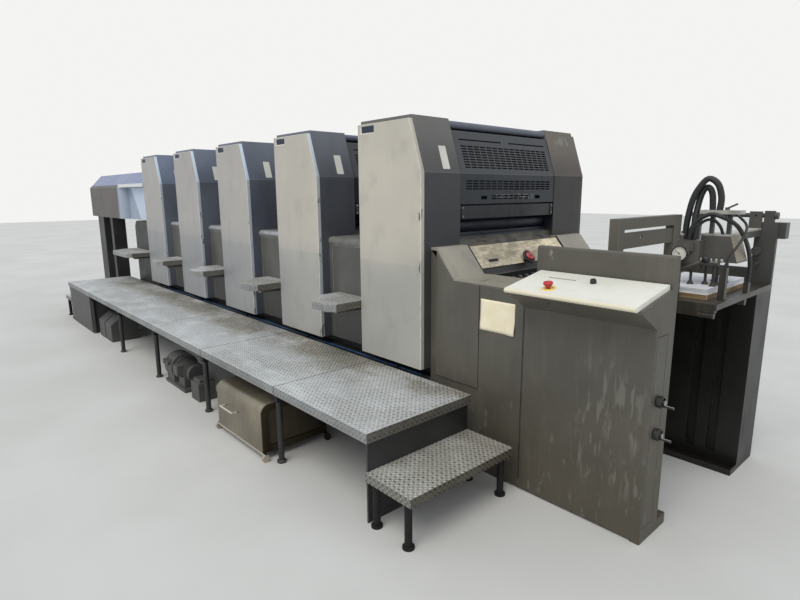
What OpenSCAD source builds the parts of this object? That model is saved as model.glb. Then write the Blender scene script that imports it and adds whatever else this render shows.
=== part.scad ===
// Sheet-fed offset printing press: feeder, infeed, five printing units, delivery and walkways.
// Millimetres. X runs from the delivery to the feeder, Y from the operator side to the drive side,
// Z up from the floor. The origin is on the floor under the middle of the third printing unit.

/* [Printing units] */
// Distance from one printing unit to the next
unit_pitch = 930; // [900:5:1000]
// Width of a tower along the machine
tower_w = 503; // [470:1:540]
// How far a tower's dark side housings stand out over the bed
tower_out = 50; // [20:1:70]
// Height of a tower's top
tower_top = 1770; // [1740:5:1850]
// Height of the leaning part of the feeder side
slope_h = 285; // [270:1:300]
// How far the feeder side leans back at the top
fold_in = 95; // [70:1:120]
// Thickness of the light side covers
cover_t = 25; // [15:1:40]
// How far the side covers stop below the tower's top
cover_drop = 20; // [5:1:40]

/* [Guards] */
// Operator-side end of the guard opening
guard_y0 = -470; // [-500:5:-430]
// Drive-side end of the guard opening
guard_y1 = 424; // [400:4:460]
// Height of the guard's upright part, below the fold
upright_h = 165; // [150:1:170]
// Depth of the guard's hinge axis below the tower's top
hinge_drop = 72; // [64:1:80]
// Depth of the guard's folded edges
guard_t = 16; // [10:1:20]
// Thickness of the guard's sheet
sheet_t = 4; // [3:0.5:6]
// Gap between a guard and what stands beside it
guard_gap = 5; // [5:1:8]
// Columns of vents across a guard
vent_cols = 15; // [8:1:17]
// Rows of vents on a guard's slope
slope_rows = 9; // [4:1:9]
// Rows of vents on a guard's upright part
upright_rows = 4; // [2:1:5]
// Height of one vent
vent_h = 7.5; // [5:0.5:9]
// Distance from one row of vents to the next
vent_pitch = 14; // [12:0.5:15]
// Sheet metal left between two vents of a row
vent_bar = 8; // [6:1:14]
// Height of the flap bar under a guard
flap_h = 78; // [60:1:85]
// Height of the throat's sill under the flap bar
sill_z = 1135; // [1125:1:1150]
// Depth of the throat behind a guard
throat_d = 170; // [140:5:200]

/* [Machine bed] */
// Height of the bed's top, where towers and housings stand
bed_top = 458; // [450:1:480]
// Half the depth of the bed, the transfer housings and the infeed
bed_half = 690; // [670:5:705]
// Height and depth of the recess along the bed's upper edge
toe_h = 58; // [40:1:70]
toe_d = 70; // [40:1:90]
// Height of the transfer housings' top
housing_top = 1110; // [1080:5:1120]
// Radius of the transfer housings' upper edges
housing_r = 30; // [15:1:45]
// Thickness of the lid on a transfer housing and how far it stands out
lid_t = 38; // [25:1:50]
lid_out = 6; // [3:1:10]

/* [Footsteps] */
// Height of a footstep's tread
step_z = 763; // [720:1:800]
// Thickness of a footstep over its rim
step_t = 43; // [30:1:55]
// How far a footstep stands out from the transfer housing
step_out = 300; // [260:5:320]
// Length of a footstep along the machine
step_len = 320; // [280:5:350]
// Thickness of a tread's folded plate
tread_t = 6; // [4:0.5:8]

/* [Infeed] */
// Length of the infeed section
infeed_len = 595; // [560:5:640]
// Height of the infeed's level top
infeed_top = 950; // [930:5:970]
// Height at which the infeed's slope meets the first tower
infeed_high = 1093; // [1070:1:1105]
// Thickness of the cover plates on the infeed
plate_t = 12; // [8:1:16]
// Thickness of the infeed's operator panels
panel_t = 8; // [5:1:12]
// Gripper stations across the infeed
gripper_count = 13; // [7:1:17]

/* [Feeder] */
// Length of the console along the machine
console_len = 580; // [540:5:620]
// Depth of the console's body
console_d = 118; // [100:2:140]
// Thickness of the console's tall back panel
backboard_t = 40; // [30:1:50]
// Height of the console's tall back panel
backboard_z = 1145; // [1100:5:1180]
// Height of the desk plate's front edge
desk_z = 967; // [950:1:985]
// How far the desk plate stands out before the console
desk_out = 160; // [120:5:180]
// Rise of the desk plate from front to back
desk_rise = 52; // [30:1:70]
// Thickness of the desk plate
desk_t = 20; // [14:1:26]
// Heights of the two crank wheels on the console's end
crank_upper_z = 594; // [570:1:640]
crank_lower_z = 461; // [430:1:500]
// Radius of a crank wheel
crank_r = 24; // [20:1:30]
// Height of the pile plate's top
pile_z = 930; // [900:5:945]
// Thickness of the pile plate
pile_t = 25; // [18:1:30]
// Length of the pile plate along the machine
pile_len = 560; // [520:5:600]
// Width of the pile plate across the machine
pile_w = 755; // [700:5:780]
// Thickness of the wooden board and of the paper on it
board_t = 22; // [18:1:30]
paper_t = 23; // [10:1:60]
// Length and width of the paper stack
stack_len = 280; // [200:5:300]
stack_w = 490; // [400:5:530]
// Height of the feed portal's top
portal_z = 1261; // [1220:1:1300]
// Width of the feed portal's posts
portal_post = 60; // [45:1:70]

/* [Suction head] */
// Length of the head's body at its foot and at its top
head_len = 152; // [120:1:170]
head_top_len = 117; // [100:1:130]
// Width of the head's body across the machine
head_w = 135; // [110:5:170]
// Height of the head's underside and of its top
head_z0 = 1079; // [1060:1:1090]
head_z1 = 1199; // [1180:1:1210]
// Radius of the pressure gauge
gauge_r = 32; // [25:1:36]
// Radius of the two large air hoses and of the two thinner ones
big_hose_r = 13; // [10:1:14]
hose_r = 9; // [6:1:10]

/* [Delivery] */
// Length of the delivery beyond the last tower
delivery_len = 2220; // [2100:10:2400]
// Height of the delivery's roof
delivery_top = 1630; // [1580:5:1700]
// Height at which the delivery's roof starts to slope
eaves_z = 1466; // [1420:2:1500]
// Height of the underside of the delivery's tall box
box_z = 1100; // [1060:5:1105]
// Radius of the tall box's upright corners
box_r = 85; // [50:5:100]
// Length of the low housing between the last tower and the pile
low_len = 670; // [600:10:720]
// Width and depth of the delivery's large posts
post_w = 250; // [180:5:280]
post_d = 150; // [100:5:180]
// Height of the white lip along the roof's edge
lip_h = 37; // [25:1:45]

/* [Walkways] */
// Height of the walkway's tread
deck_z = 422; // [400:1:440]
// Height of the walkway's rim
deck_rim = 45; // [35:1:60]
// Depth of the operator's walkway
deck_d = 650; // [560:10:700]
// Length of a whole walkway section
deck_len = 924; // [880:2:960]
// Length of the section next to the feeder
deck_end_len = 757; // [700:1:800]
// Depth of the drive-side walkway
back_deck_d = 275; // [240:5:320]
// Height of the end steps' treads
entry_z = 238; // [200:1:260]
// Going of the end steps
entry_d = 275; // [240:5:300]
// Radius of a walkway leg
leg_r = 16; // [12:1:22]

/* [Service units] */
// Length, depth and height of the tank
tank_len = 540; // [480:5:600]
tank_d = 400; // [340:5:440]
tank_h = 262; // [220:1:275]
// Radius of the tank's upper edges
tank_r = 48; // [30:1:60]
// Length of the blower with its end pieces
blower_len = 400; // [340:5:440]
// Radius of the blower's body
blower_r = 100; // [80:1:110]

/* [Hidden] */
$fn = 48;

// Running clearance of a pin in its bore
pin_play = 0.05;
// Gap between two pieces that lie on each other at a slant
seat_gap = 0.2;
// Radius and length of a guard's trunnions, and the play behind their ends
trunnion_r = 8;
trunnion_len = 12;
trunnion_play = 2;
// Radius of the tube round a guard's hinge axis
hinge_tube_r = 14;
// How far a guard lies behind the faces of the side housings
guard_inset = 3;
// Margin of the vents and slots beside a guard's ends
vent_margin = 46;
// Length by which a cutting block stands out past the face that it cuts
over = 1;

tower_half = bed_half + tower_out;
cover_y = tower_half + cover_t;
face_x = tower_w / 2;
fold_z = tower_top - slope_h;
guard_z0 = fold_z - upright_h;
hinge_z = tower_top - hinge_drop;
hinge_x = slope_x(hinge_z) - guard_inset - hinge_tube_r;
units_x0 = -2 * unit_pitch - face_x;
units_x1 = 2 * unit_pitch + face_x;
infeed_x1 = units_x1 + infeed_len;

// Place of a unit's middle along the machine, unit 1 being next to the infeed
function unit_x(i) = (3 - i) * unit_pitch;
// Where the leaning feeder side lies at a height above the fold
function slope_x(z) = face_x - fold_in * (z - fold_z) / slope_h;
// Points of an arc
function arc(cx, cy, r, a0, a1, n = 8) =
  [for (k = [0:n]) [cx + r * cos(a0 + (a1 - a0) * k / n), cy + r * sin(a0 + (a1 - a0) * k / n)]];

// Extrudes an outline in X and Z along Y
module along_y(y0, y1) {
  translate([0, y1, 0]) rotate([90, 0, 0]) linear_extrude(y1 - y0) children();
}

// Extrudes an outline in Y and Z along X
module along_x(x0, x1) {
  translate([x0, 0, 0]) rotate([90, 0, 90]) linear_extrude(x1 - x0) children();
}

// A block between two corners
module block(a, b) {
  translate(a) cube(b - a);
}

// A round bar along Y
module bar_y(x, z, r, y0, y1) {
  translate([x, y1, z]) rotate([90, 0, 0]) cylinder(r = r, h = y1 - y0);
}

// A round bar along X
module bar_x(y, z, r, x0, x1) {
  translate([x0, y, z]) rotate([0, 90, 0]) cylinder(r = r, h = x1 - x0);
}

// A block with rounded upper edges along X
module rounded_top(x0, x1, y0, y1, z0, z1, r) {
  along_x(x0, x1) polygon(concat(
    [[y1, z0]], arc(y1 - r, z1 - r, r, 0, 90), arc(y0 + r, z1 - r, r, 90, 180), [[y0, z0]]
  ));
}

module base_frame() {
  // Access pockets on both sides of the bed, one at each unit
  pocket = [300, 20, 220];
  pocket_z = 90;
  color([0.16, 0.16, 0.17]) {
    difference() {
      block([units_x0, -bed_half, 0], [units_x1, bed_half, bed_top - toe_h]);
      for (i = [1:5]) {
        block([unit_x(i) - pocket[0] / 2, -bed_half - over, pocket_z],
          [unit_x(i) + pocket[0] / 2, -bed_half + pocket[1], pocket_z + pocket[2]]);
        block([unit_x(i) - pocket[0] / 2, bed_half - pocket[1], pocket_z],
          [unit_x(i) + pocket[0] / 2, bed_half + over, pocket_z + pocket[2]]);
      }
    }
    block([units_x0, -bed_half + toe_d, bed_top - toe_h], [units_x1, bed_half - toe_d, bed_top]);
  }
}

// Printing units

module tower_outline() {
  polygon([
    [-face_x, bed_top], [face_x, bed_top], [face_x, fold_z],
    [face_x - fold_in, tower_top], [-face_x, tower_top]
  ]);
}

// Height and depth of the worn ledge at the throat's sill
ledge_h = 45;
ledge_d = 30;

module throat_outline() {
  back = face_x - throat_d;
  cap_z = hinge_z + hinge_tube_r + guard_gap + 6;
  nose_z = tower_top - 8;
  nose_r = (nose_z - cap_z) / 2;
  nose_x = slope_x(nose_z - nose_r) - nose_r - guard_inset;
  polygon([
    [-face_x, bed_top], [face_x, bed_top], [face_x, sill_z - ledge_h], [face_x - ledge_d, sill_z],
    [back, sill_z], [back, cap_z], [nose_x, cap_z], [nose_x, nose_z], [-face_x, nose_z]
  ]);
  translate([nose_x, nose_z - nose_r]) circle(r = nose_r);
}

module unit_body(i) {
  flap_z = guard_z0 - guard_gap - flap_h;
  flap_x = face_x - 4;
  slot_len = 82;
  bore_end = trunnion_len + trunnion_play;
  translate([unit_x(i), 0, 0]) color([0.22, 0.23, 0.26]) {
    difference() {
      along_y(-tower_half, guard_y0) tower_outline();
      bar_y(hinge_x, hinge_z, trunnion_r + pin_play, guard_y0 - bore_end, guard_y0 + over);
    }
    difference() {
      along_y(guard_y1, tower_half) tower_outline();
      bar_y(hinge_x, hinge_z, trunnion_r + pin_play, guard_y1 - over, guard_y1 + bore_end);
    }
    difference() {
      along_y(guard_y0, guard_y1) throat_outline();
      // Two finger slots in the worn ledge
      for (y = [guard_y0 + 160, guard_y1 - 184]) {
        block([face_x - 17, y, sill_z - 30], [face_x + over, y + slot_len, sill_z - 14]);
      }
    }
    // Covered form roller and stepped sheets seen in the throat
    bar_y(face_x - 104, sill_z + 68, 46, guard_y0, guard_y1);
    along_y(guard_y0, guard_y1) polygon([
      [face_x - throat_d, sill_z], [face_x - 34, sill_z], [face_x - 38, sill_z + 13],
      [face_x - 62, sill_z + 15], [face_x - 66, sill_z + 28], [face_x - throat_d, sill_z + 32]
    ]);
    // Flap bar with a thin rounded lower edge, on two end pivots
    along_y(guard_y0 + 6, guard_y1 - 6) polygon(concat(
      arc(flap_x - 9, flap_z + 6, 6, 180, 360),
      [[flap_x, flap_z + flap_h - 8], [flap_x - 7, flap_z + flap_h], [flap_x - 28, flap_z + flap_h]]
    ));
    bar_y(flap_x - 15, flap_z + flap_h - 18, 9, guard_y0, guard_y1);
  }
}

module cover_outline() {
  top = tower_top - cover_drop;
  polygon([
    [-face_x, bed_top], [face_x, bed_top], [face_x, fold_z], [slope_x(top), top], [-face_x, top]
  ]);
}

module side_cover(i) {
  // Small window by the upper corner: its inset, length, height and recess
  inset = 28;
  window = [112, 40];
  window_d = 5;
  top = tower_top - cover_drop - 9;
  translate([unit_x(i), 0, 0]) color([0.62, 0.61, 0.58]) difference() {
    along_y(-cover_y, -tower_half) cover_outline();
    block([inset - face_x, -cover_y - over, top - window[1]],
      [inset - face_x + window[0], -cover_y + window_d, top]);
  }
}

module drive_covers() {
  color([0.62, 0.61, 0.58]) for (i = [1:5]) {
    translate([unit_x(i), 0, 0]) along_y(tower_half, cover_y) cover_outline();
  }
}

// Outline of a guard's bent sheet of a given thickness
module guard_outline(t) {
  out = face_x - guard_inset;
  top = slope_x(hinge_z) - guard_inset;
  polygon([
    [out, guard_z0], [out, fold_z], [top, hinge_z], [top - t, hinge_z], [out - t, fold_z],
    [out - t, guard_z0]
  ]);
}

// Bent sheet with folded ends, a folded lower edge, a stiffening rib and the tube at the hinge
module guard_pan() {
  y0 = guard_y0 + guard_gap;
  y1 = guard_y1 - guard_gap;
  end_t = 10;
  out = face_x - guard_inset;
  along_y(y0, y1) guard_outline(sheet_t);
  along_y(y0, y0 + end_t) guard_outline(guard_t);
  along_y(y1 - end_t, y1) guard_outline(guard_t);
  block([out - guard_t, y0, guard_z0], [out, y1, guard_z0 + sheet_t]);
  along_y(y0, y1) polygon([
    [out, fold_z - 8], [out, fold_z], [out - 2, fold_z + 8], [out - guard_t, fold_z + 5],
    [out - guard_t, fold_z - 8]
  ]);
  bar_y(hinge_x, hinge_z, hinge_tube_r, y0, y1);
}

// A block of slots: rows upwards and columns across, cut through the sheet
module vents(y0, width, z0, rows, cols) {
  col = width / cols;
  for (r = [0:rows - 1]) {
    for (c = [0:cols - 1]) {
      translate([face_x - throat_d / 2, y0 + c * col + vent_bar / 2, z0 + r * vent_pitch])
        cube([throat_d / 2 + over, col - vent_bar, vent_h]);
    }
  }
}

module guard(i) {
  field = guard_y1 - guard_y0 - 2 * vent_margin;
  field_y = guard_y0 + vent_margin;
  // Two long slots with a bridge between them, under the hinge
  slot_len = field / 2 - 36;
  slot_z = fold_z + 175;
  // Slotted strip and finger grips over the lower edge
  strip_cols = 7;
  strip_w = field * 0.45;
  strip_y = field_y + field * 0.27;
  strip_z = guard_z0 + 24;
  grip_w = 52;
  translate([unit_x(i), 0, 0]) color([0.18, 0.19, 0.21]) {
    difference() {
      guard_pan();
      for (y = [field_y, field_y + field - slot_len]) {
        block([face_x - throat_d / 2, y, slot_z], [face_x + over, y + slot_len, slot_z + vent_h]);
      }
      vents(field_y, field, fold_z + 28, slope_rows, vent_cols);
      vents(field_y, field, guard_z0 + 78, upright_rows, vent_cols);
      vents(strip_y, strip_w, strip_z, 2, strip_cols);
      for (y = [field_y + field * 0.16, field_y + field * 0.8]) {
        block([face_x - guard_t, y, strip_z], [face_x + over, y + grip_w, strip_z + 20]);
      }
    }
    bar_y(hinge_x, hinge_z, trunnion_r, guard_y0 - trunnion_len, guard_y0 + guard_gap);
    bar_y(hinge_x, hinge_z, trunnion_r, guard_y1 - guard_gap, guard_y1 + trunnion_len);
  }
}

// Housings and steps between the units

// Upright housing with a rounded lid that stands out a little
module lidded_outline(half, top, r) {
  polygon(concat(
    [[half - lid_out, bed_top], [half - lid_out, top - lid_t], [half, top - lid_t]],
    arc(half - r, top - r, r, 0, 90), arc(-half + r, top - r, r, 90, 180),
    [[-half, top - lid_t], [lid_out - half, top - lid_t], [lid_out - half, bed_top]]
  ));
}

module transfer_housing(i) {
  x0 = unit_x(i + 1) + face_x;
  x1 = unit_x(i) - face_x;
  y = -bed_half + lid_out;
  // Two short louvres low on the operator side
  louvre = [44, 6, 7];
  louvre_z = bed_top + 72;
  color([0.35, 0.34, 0.33]) difference() {
    along_x(x0, x1) lidded_outline(bed_half, housing_top, housing_r);
    for (k = [0, 1]) {
      translate([x0 + 130, y - over, louvre_z + k * 33]) cube([louvre[0], louvre[1] + over, louvre[2]]);
    }
    // Seams of the service panel
    for (x = [x0 + 34, x1 - 34]) {
      block([x, y - over, bed_top + 12], [x + 3, y + 3, housing_top - lid_t]);
    }
  }
}

housing_y = bed_half - lid_out;

// Outline of a footstep's tread, drawn in by e along its free edges
module tread_outline(x0, x1, y1, len, e) {
  y0 = y1 - step_out;
  polygon([
    [x0 + e, y1], [x1 - e, y1], [x1 - e, y0 + 45 + e * 0.4], [x1 - 45 - e * 0.4, y0 + e],
    [x0 + len * 0.42 + e * 0.3, y0 + e], [x0 + e, y0 + step_out * 0.52 + e * 0.5]
  ]);
}

// Folded tread plate that is open below
module tread(x0, x1, len) {
  translate([0, 0, step_z - step_t]) difference() {
    linear_extrude(step_t) tread_outline(x0, x1, -housing_y, len, 0);
    translate([0, 0, -over])
      linear_extrude(step_t - tread_t + over) tread_outline(x0, x1, -housing_y - 8, len, tread_t);
  }
}

// Bracket under a tread, screwed to the housing behind it
module tread_bracket(x) {
  w = 44;
  reach = step_out * 0.62;
  hang = 34;
  y0 = -housing_y - reach;
  block([x, y0, step_z - step_t - hang], [x + w, -housing_y, step_z - step_t]);
  bar_y(x + w / 2, step_z - step_t - hang / 2, 9, y0 - 8, y0);
}

module footstep(i) {
  x1 = unit_x(i) - face_x - 5;
  color([0.5, 0.5, 0.49]) {
    tread(x1 - step_len, x1, step_len);
    tread_bracket(x1 - step_len * 0.42);
  }
}

// Shelf in front of the low housing, whose face stands lid_out further out
module delivery_shelf() {
  x1 = units_x0 - 5;
  x0 = units_x0 - low_len;
  color([0.5, 0.5, 0.49]) {
    translate([0, -lid_out, 0]) {
      tread(x0, x1, step_len);
      tread_bracket(x0 + low_len * 0.25);
      tread_bracket(x0 + low_len * 0.7);
    }
  }
}

// Infeed between the first unit and the feeder

slope_start = units_x1 + 40;
infeed_knee = units_x1 + 160;
well_x0 = infeed_knee + 10;
well_x1 = infeed_knee + 270;
well_y0 = guard_y0 + 20;
well_y1 = guard_y1 - 20;
well_d = 90;
slope_angle = atan((infeed_high - infeed_top) / (infeed_knee - slope_start));

module infeed_housing() {
  seam_x = units_x1 + infeed_len * 0.56;
  seam_w = 3;
  color([0.3, 0.29, 0.28]) {
    difference() {
      along_y(-bed_half, bed_half) polygon([
        [units_x1, 0], [infeed_x1, 0], [infeed_x1, infeed_top], [infeed_knee, infeed_top],
        [slope_start, infeed_high], [units_x1, infeed_high]
      ]);
      block([well_x0, well_y0, infeed_top - well_d], [well_x1, well_y1, infeed_top + over]);
    }
    // Panel by the first tower, down to the walkway
    along_y(-bed_half - panel_t, -bed_half) polygon([
      [slope_start + 5, deck_z + 8], [seam_x - seam_w, deck_z + 8], [seam_x - seam_w, infeed_top - 4],
      [infeed_knee - 2, infeed_top - 4], [slope_start + 5, infeed_high - 10]
    ]);
    // Panel beside the console, down to the floor
    block([seam_x + seam_w, -bed_half - panel_t, 10], [infeed_x1, -bed_half, infeed_top - 4]);
  }
}

// Side plate over the infeed's slope and level top
module cheek(y0, y1) {
  t = plate_t;
  lean = t * tan(slope_angle / 2);
  along_y(y0, y1) polygon([
    [slope_start, infeed_high], [infeed_knee, infeed_top], [infeed_x1 - 2, infeed_top],
    [infeed_x1 - 2, infeed_top + t], [infeed_knee + lean, infeed_top + t],
    [slope_start + lean, infeed_high + t], [units_x1, infeed_high + t], [units_x1, infeed_high]
  ]);
}

// Place on the infeed's slope, at a share of its length, with Z square to the slope
module on_slope(share, y) {
  translate([slope_start + (infeed_knee - slope_start) * share, y,
    infeed_high - (infeed_high - infeed_top) * share]) rotate([0, slope_angle, 0]) children();
}

module infeed_cover() {
  thin = 5;
  slope_len = norm([infeed_knee - slope_start, infeed_high - infeed_top]);
  grip = [18, 86];
  inner = 20;
  strip_w = 58;
  color([0.55, 0.53, 0.49]) {
    difference() {
      cheek(-bed_half, guard_y0 + inner);
      // Slot in the level part
      block([infeed_knee + 142, -bed_half + 28, infeed_top + plate_t - 4],
        [infeed_knee + 166, -bed_half + 92, infeed_top + plate_t + over]);
    }
    cheek(guard_y1 - inner, bed_half);
    // Raised strip beside the slot
    block([infeed_knee + 196, -bed_half + 16, infeed_top + plate_t],
      [infeed_knee + 330, -bed_half + 50, infeed_top + plate_t + 4]);
    // Centre plate with an oval grip
    difference() {
      on_slope(0, guard_y0 + inner + 4) cube([slope_len * 0.78, guard_y1 - guard_y0 - 2 * inner - 8, thin]);
      on_slope(0.56, -315) union() {
        translate([-grip[0] / 2, -grip[1] / 2 + grip[0] / 2, -20]) cube([grip[0], grip[1] - grip[0], 40]);
        for (s = [-1, 1]) {
          translate([0, s * (grip[1] - grip[0]) / 2, -20]) cylinder(r = grip[0] / 2, h = 40);
        }
      }
    }
    // Level strip between the well and the console
    block([well_x1 + 4, well_y0 + 4, infeed_top], [well_x1 + 4 + strip_w, well_y1 - 4, infeed_top + 10]);
  }
}

// Gripper finger with its heel, seen from its end
module gripper_outline(x, z) {
  polygon([
    [x - 16, z - 8], [x - 6, z - 15], [x + 14, z - 12], [x + 34, z + 6], [x + 56, z + 16],
    [x + 55, z + 21], [x + 30, z + 15], [x + 12, z + 14], [x - 8, z + 26], [x - 16, z + 22]
  ]);
}

module infeed_mechanism() {
  shaft_x = [well_x0 + 48, well_x0 + 158];
  shaft_z = infeed_top - 42;
  shaft_r = 12;
  span = well_y1 - well_y0;
  finger_w = 18;
  station = span / (gripper_count + 1);
  color([0.2, 0.2, 0.2]) {
    for (x = shaft_x) {
      bar_y(x, shaft_z, shaft_r, well_y0, well_y1);
    }
    for (k = [1:gripper_count]) {
      y = well_y0 + k * station;
      along_y(y - finger_w / 2, y + finger_w / 2) gripper_outline(shaft_x[0], shaft_z);
      along_y(y - finger_w / 3, y + finger_w / 3) gripper_outline(shaft_x[1], shaft_z + 4);
      // Clamp collar beside each finger
      bar_y(shaft_x[1], shaft_z, shaft_r + 8, y + finger_w / 2 + 4, y + finger_w + 2);
    }
    // Slotted guide rail over the back of the well
    difference() {
      block([well_x1 - 52, well_y0, infeed_top - 30], [well_x1 - 30, well_y1, infeed_top - 6]);
      for (k = [1:gripper_count]) {
        y = well_y0 + k * station;
        block([well_x1 - 53, y - 8, infeed_top - 20], [well_x1 - 40, y + 8, infeed_top - 5]);
      }
    }
  }
}

// Hand knob with a dark dished ring, at the centre plate's lower edge
module setting_knob() {
  ring_r = 43;
  stem = 28;
  color([0.7, 0.1, 0.1]) on_slope(0.72, -54) translate([0, 0, 5 + seat_gap]) {
    cylinder(r = 12, h = stem);
    translate([0, 0, stem]) rotate_extrude() polygon([
      [0, 0], [ring_r - 6, 0], [ring_r, 6], [ring_r, 15], [ring_r - 6, 18], [ring_r - 14, 12],
      [ring_r - 15, 20], [ring_r - 21, 26], [0, 27]
    ]);
  }
}

// Feeder console with its desk, stop button and cranks

console_x0 = infeed_x1;
console_x1 = infeed_x1 + console_len;
console_y0 = -bed_half - panel_t;
board_y0 = console_y0 + console_d;
board_y1 = board_y0 + backboard_t;
desk_y0 = console_y0 - desk_out;
desk_angle = atan(desk_rise / (board_y0 - desk_y0));
crank_y = console_y0 + console_d * 0.45;
crank_bore_d = 40;
pin_r = 6;
button_r = 8;
button_play = 0.3;
socket_d = 45;

// Height of the desk plate's underside at a depth
function desk_under(y) = desk_z + (y - desk_y0) * tan(desk_angle);

module feeder_console() {
  // Nose of the sloping bracket under the desk, and its fall towards the front panel
  nose = 30;
  fall = 85;
  foot = [70, 75, 48];
  seam = 3;
  door = [console_y0 + 12, board_y0 - 14, 62, desk_z - fall - 30];
  color([0.3, 0.29, 0.27]) {
    difference() {
      along_x(console_x0, console_x1) polygon([
        [console_y0, 0], [board_y0, 0], [board_y0, desk_under(board_y0) - seat_gap],
        [desk_y0 + nose, desk_under(desk_y0 + nose) - seat_gap], [desk_y0 + nose, desk_z - 8],
        [console_y0, desk_z - fall]
      ]);
      for (z = [crank_upper_z, crank_lower_z]) {
        bar_x(crank_y, z, pin_r + pin_play, console_x1 - crank_bore_d, console_x1 + over);
      }
      button_place() translate([0, 0, -socket_d])
        cylinder(r = button_r + button_play, h = socket_d + desk_t);
      // Seams of the narrow end door
      for (y = [door[0], door[1] - seam]) {
        block([console_x1 - seam, y, door[2]], [console_x1 + over, y + seam, door[3]]);
      }
      for (z = [door[2], door[3] - seam]) {
        block([console_x1 - seam, door[0], z], [console_x1 + over, door[1], z + seam]);
      }
      // Kick recess along the floor
      block([console_x0 - over, console_y0 - over, -over], [console_x1 - 40, console_y0 + 14, 10]);
    }
    // Tall back panel with a rounded top, and the column that carries it
    along_x(console_x0 - 25, console_x1) polygon(concat(
      [[board_y0, infeed_top + plate_t], [board_y1, infeed_top + plate_t]],
      arc(board_y1 - 10, backboard_z - 10, 10, 0, 90), arc(board_y0 + 10, backboard_z - 10, 10, 90, 180)
    ));
    block([console_x0, board_y0, 0], [console_x1, board_y1, infeed_top + plate_t]);
    block([console_x1 - foot[0], board_y1, 0], [console_x1, board_y1 + foot[1], foot[2]]);
  }
}

module button_place() {
  y = desk_y0 + 65;
  translate([console_x0 + 178, y, desk_under(y)]) rotate([desk_angle, 0, 0]) children();
}

module desk_plate() {
  slant = (board_y0 - desk_y0 - 5) / cos(desk_angle);
  groove = [140, 3, 4];
  x0 = console_x0 + 3;
  color([0.82, 0.8, 0.73]) difference() {
    along_x(x0, console_x1 - 12) translate([desk_y0, desk_z]) rotate(desk_angle)
      polygon(concat(
        arc(desk_t / 2, desk_t / 2, desk_t / 2, 90, 270), [[slant, 0], [slant, desk_t]]
      ));
    button_place() translate([0, 0, -socket_d])
      cylinder(r = button_r + button_play, h = socket_d + desk_t + over);
    // Stop groove for a sheet that is laid on the desk
    translate([x0 + 47, desk_y0, desk_z]) rotate([desk_angle, 0, 0])
      translate([0, slant * 0.7, desk_t - groove[2]]) cube([groove[0], groove[1], groove[2] + over]);
  }
}

module stop_button() {
  head_r = 20;
  lift = 12;
  color([0.75, 0.08, 0.08]) button_place() {
    translate([0, 0, -30]) cylinder(r = button_r, h = 30 + desk_t + lift);
    translate([0, 0, desk_t + lift]) rotate_extrude() polygon(concat(
      [[0, 0], [head_r * 0.66, 0], [head_r - 1, 8]], arc(head_r - 5, 13, 5, -20, 60, 5), [[8, 19], [0, 20]]
    ));
  }
}

module crank(z) {
  hub_gap = 5;
  rim = 5;
  wheel_t = 20;
  grip_r = 5;
  color([0.55, 0.55, 0.53]) translate([console_x1, crank_y, z]) rotate([0, 90, 0]) {
    translate([0, 0, -30]) cylinder(r = pin_r, h = 36);
    translate([0, 0, hub_gap]) rotate_extrude() polygon([
      [0, 0], [crank_r, 0], [crank_r, wheel_t], [crank_r - rim, wheel_t],
      [crank_r - rim - 1, wheel_t - 6], [13, wheel_t - 6], [12, wheel_t + 7], [0, wheel_t + 7]
    ]);
    translate([crank_r * 0.55, 0, hub_gap + wheel_t - 7]) cylinder(r = grip_r, h = 46);
  }
}

// Feeder frame, pile and suction head

frame_y1 = guard_y1 + 31;
wall_y0 = frame_y1 - 205;
front_x1 = infeed_x1 + 50;
pile_x1 = front_x1 + 33 + pile_len;
pile_y0 = frame_y1 - pile_w;
frame_x1 = pile_x1 - 6;
side_t = 25;
rail_z = 1262;
rail_r = 11;
table_x1 = infeed_x1 + 290;

module feeder_frame() {
  tray = [85, 30, 6];
  channel = [45, 25];
  post_top = 1230;
  clamp = [42, 13];
  post_x = infeed_x1 + 240;
  color([0.14, 0.14, 0.15]) {
    // Cross wall behind the console
    block([infeed_x1, board_y1, 0], [front_x1, frame_y1, pile_z - pile_t]);
    // Low tray on the floor
    difference() {
      block([front_x1, wall_y0 - tray[0], 0], [frame_x1, wall_y0, tray[1]]);
      block([front_x1 + tray[2], wall_y0 - tray[0] + tray[2], tray[2]],
        [frame_x1 - tray[2], wall_y0 + over, tray[1] + over]);
    }
    // Folded wall under the pile plate, with two upright channels
    difference() {
      block([front_x1, wall_y0, 0], [frame_x1, frame_y1, pile_z - pile_t]);
      for (x = [frame_x1 - 250, frame_x1 - 150]) {
        block([x, wall_y0 - over, 60], [x + channel[0], wall_y0 + channel[1], pile_z - pile_t - 40]);
      }
    }
    // Drive-side plate with its two posts, the rail and its end clamp
    block([infeed_x1, frame_y1, 0], [frame_x1, frame_y1 + side_t, pile_z + 70]);
    block([frame_x1 - 95, frame_y1, pile_z + 70], [frame_x1, frame_y1 + side_t, post_top]);
    block([post_x, frame_y1, pile_z + 70], [post_x + portal_post * 0.75, frame_y1 + side_t, rail_z]);
    bar_x(frame_y1 + side_t / 2, rail_z, rail_r, post_x - 15, frame_x1 - 8);
    block([frame_x1 - 62, frame_y1, post_top], [frame_x1 - 62 + clamp[0], frame_y1 + side_t, rail_z + rail_r + 12]);
    bar_x(frame_y1 + side_t / 2, rail_z, rail_r + 6, frame_x1 - 20, frame_x1 - 4);
    // Switch box on the outside of the post
    block([frame_x1 - 24, frame_y1 + side_t, 1150], [frame_x1 + 30, frame_y1 + side_t + 60, post_top - 2]);
    // Setting knob and stop screw inside the post
    bar_y(frame_x1 - 74, 1089, 9, frame_y1 - 12, frame_y1);
    bar_y(frame_x1 - 74, 1089, 21, frame_y1 - 34, frame_y1 - 12);
    bar_y(frame_x1 - 62, 1028, 7, frame_y1 - 40, frame_y1);
  }
}

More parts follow.
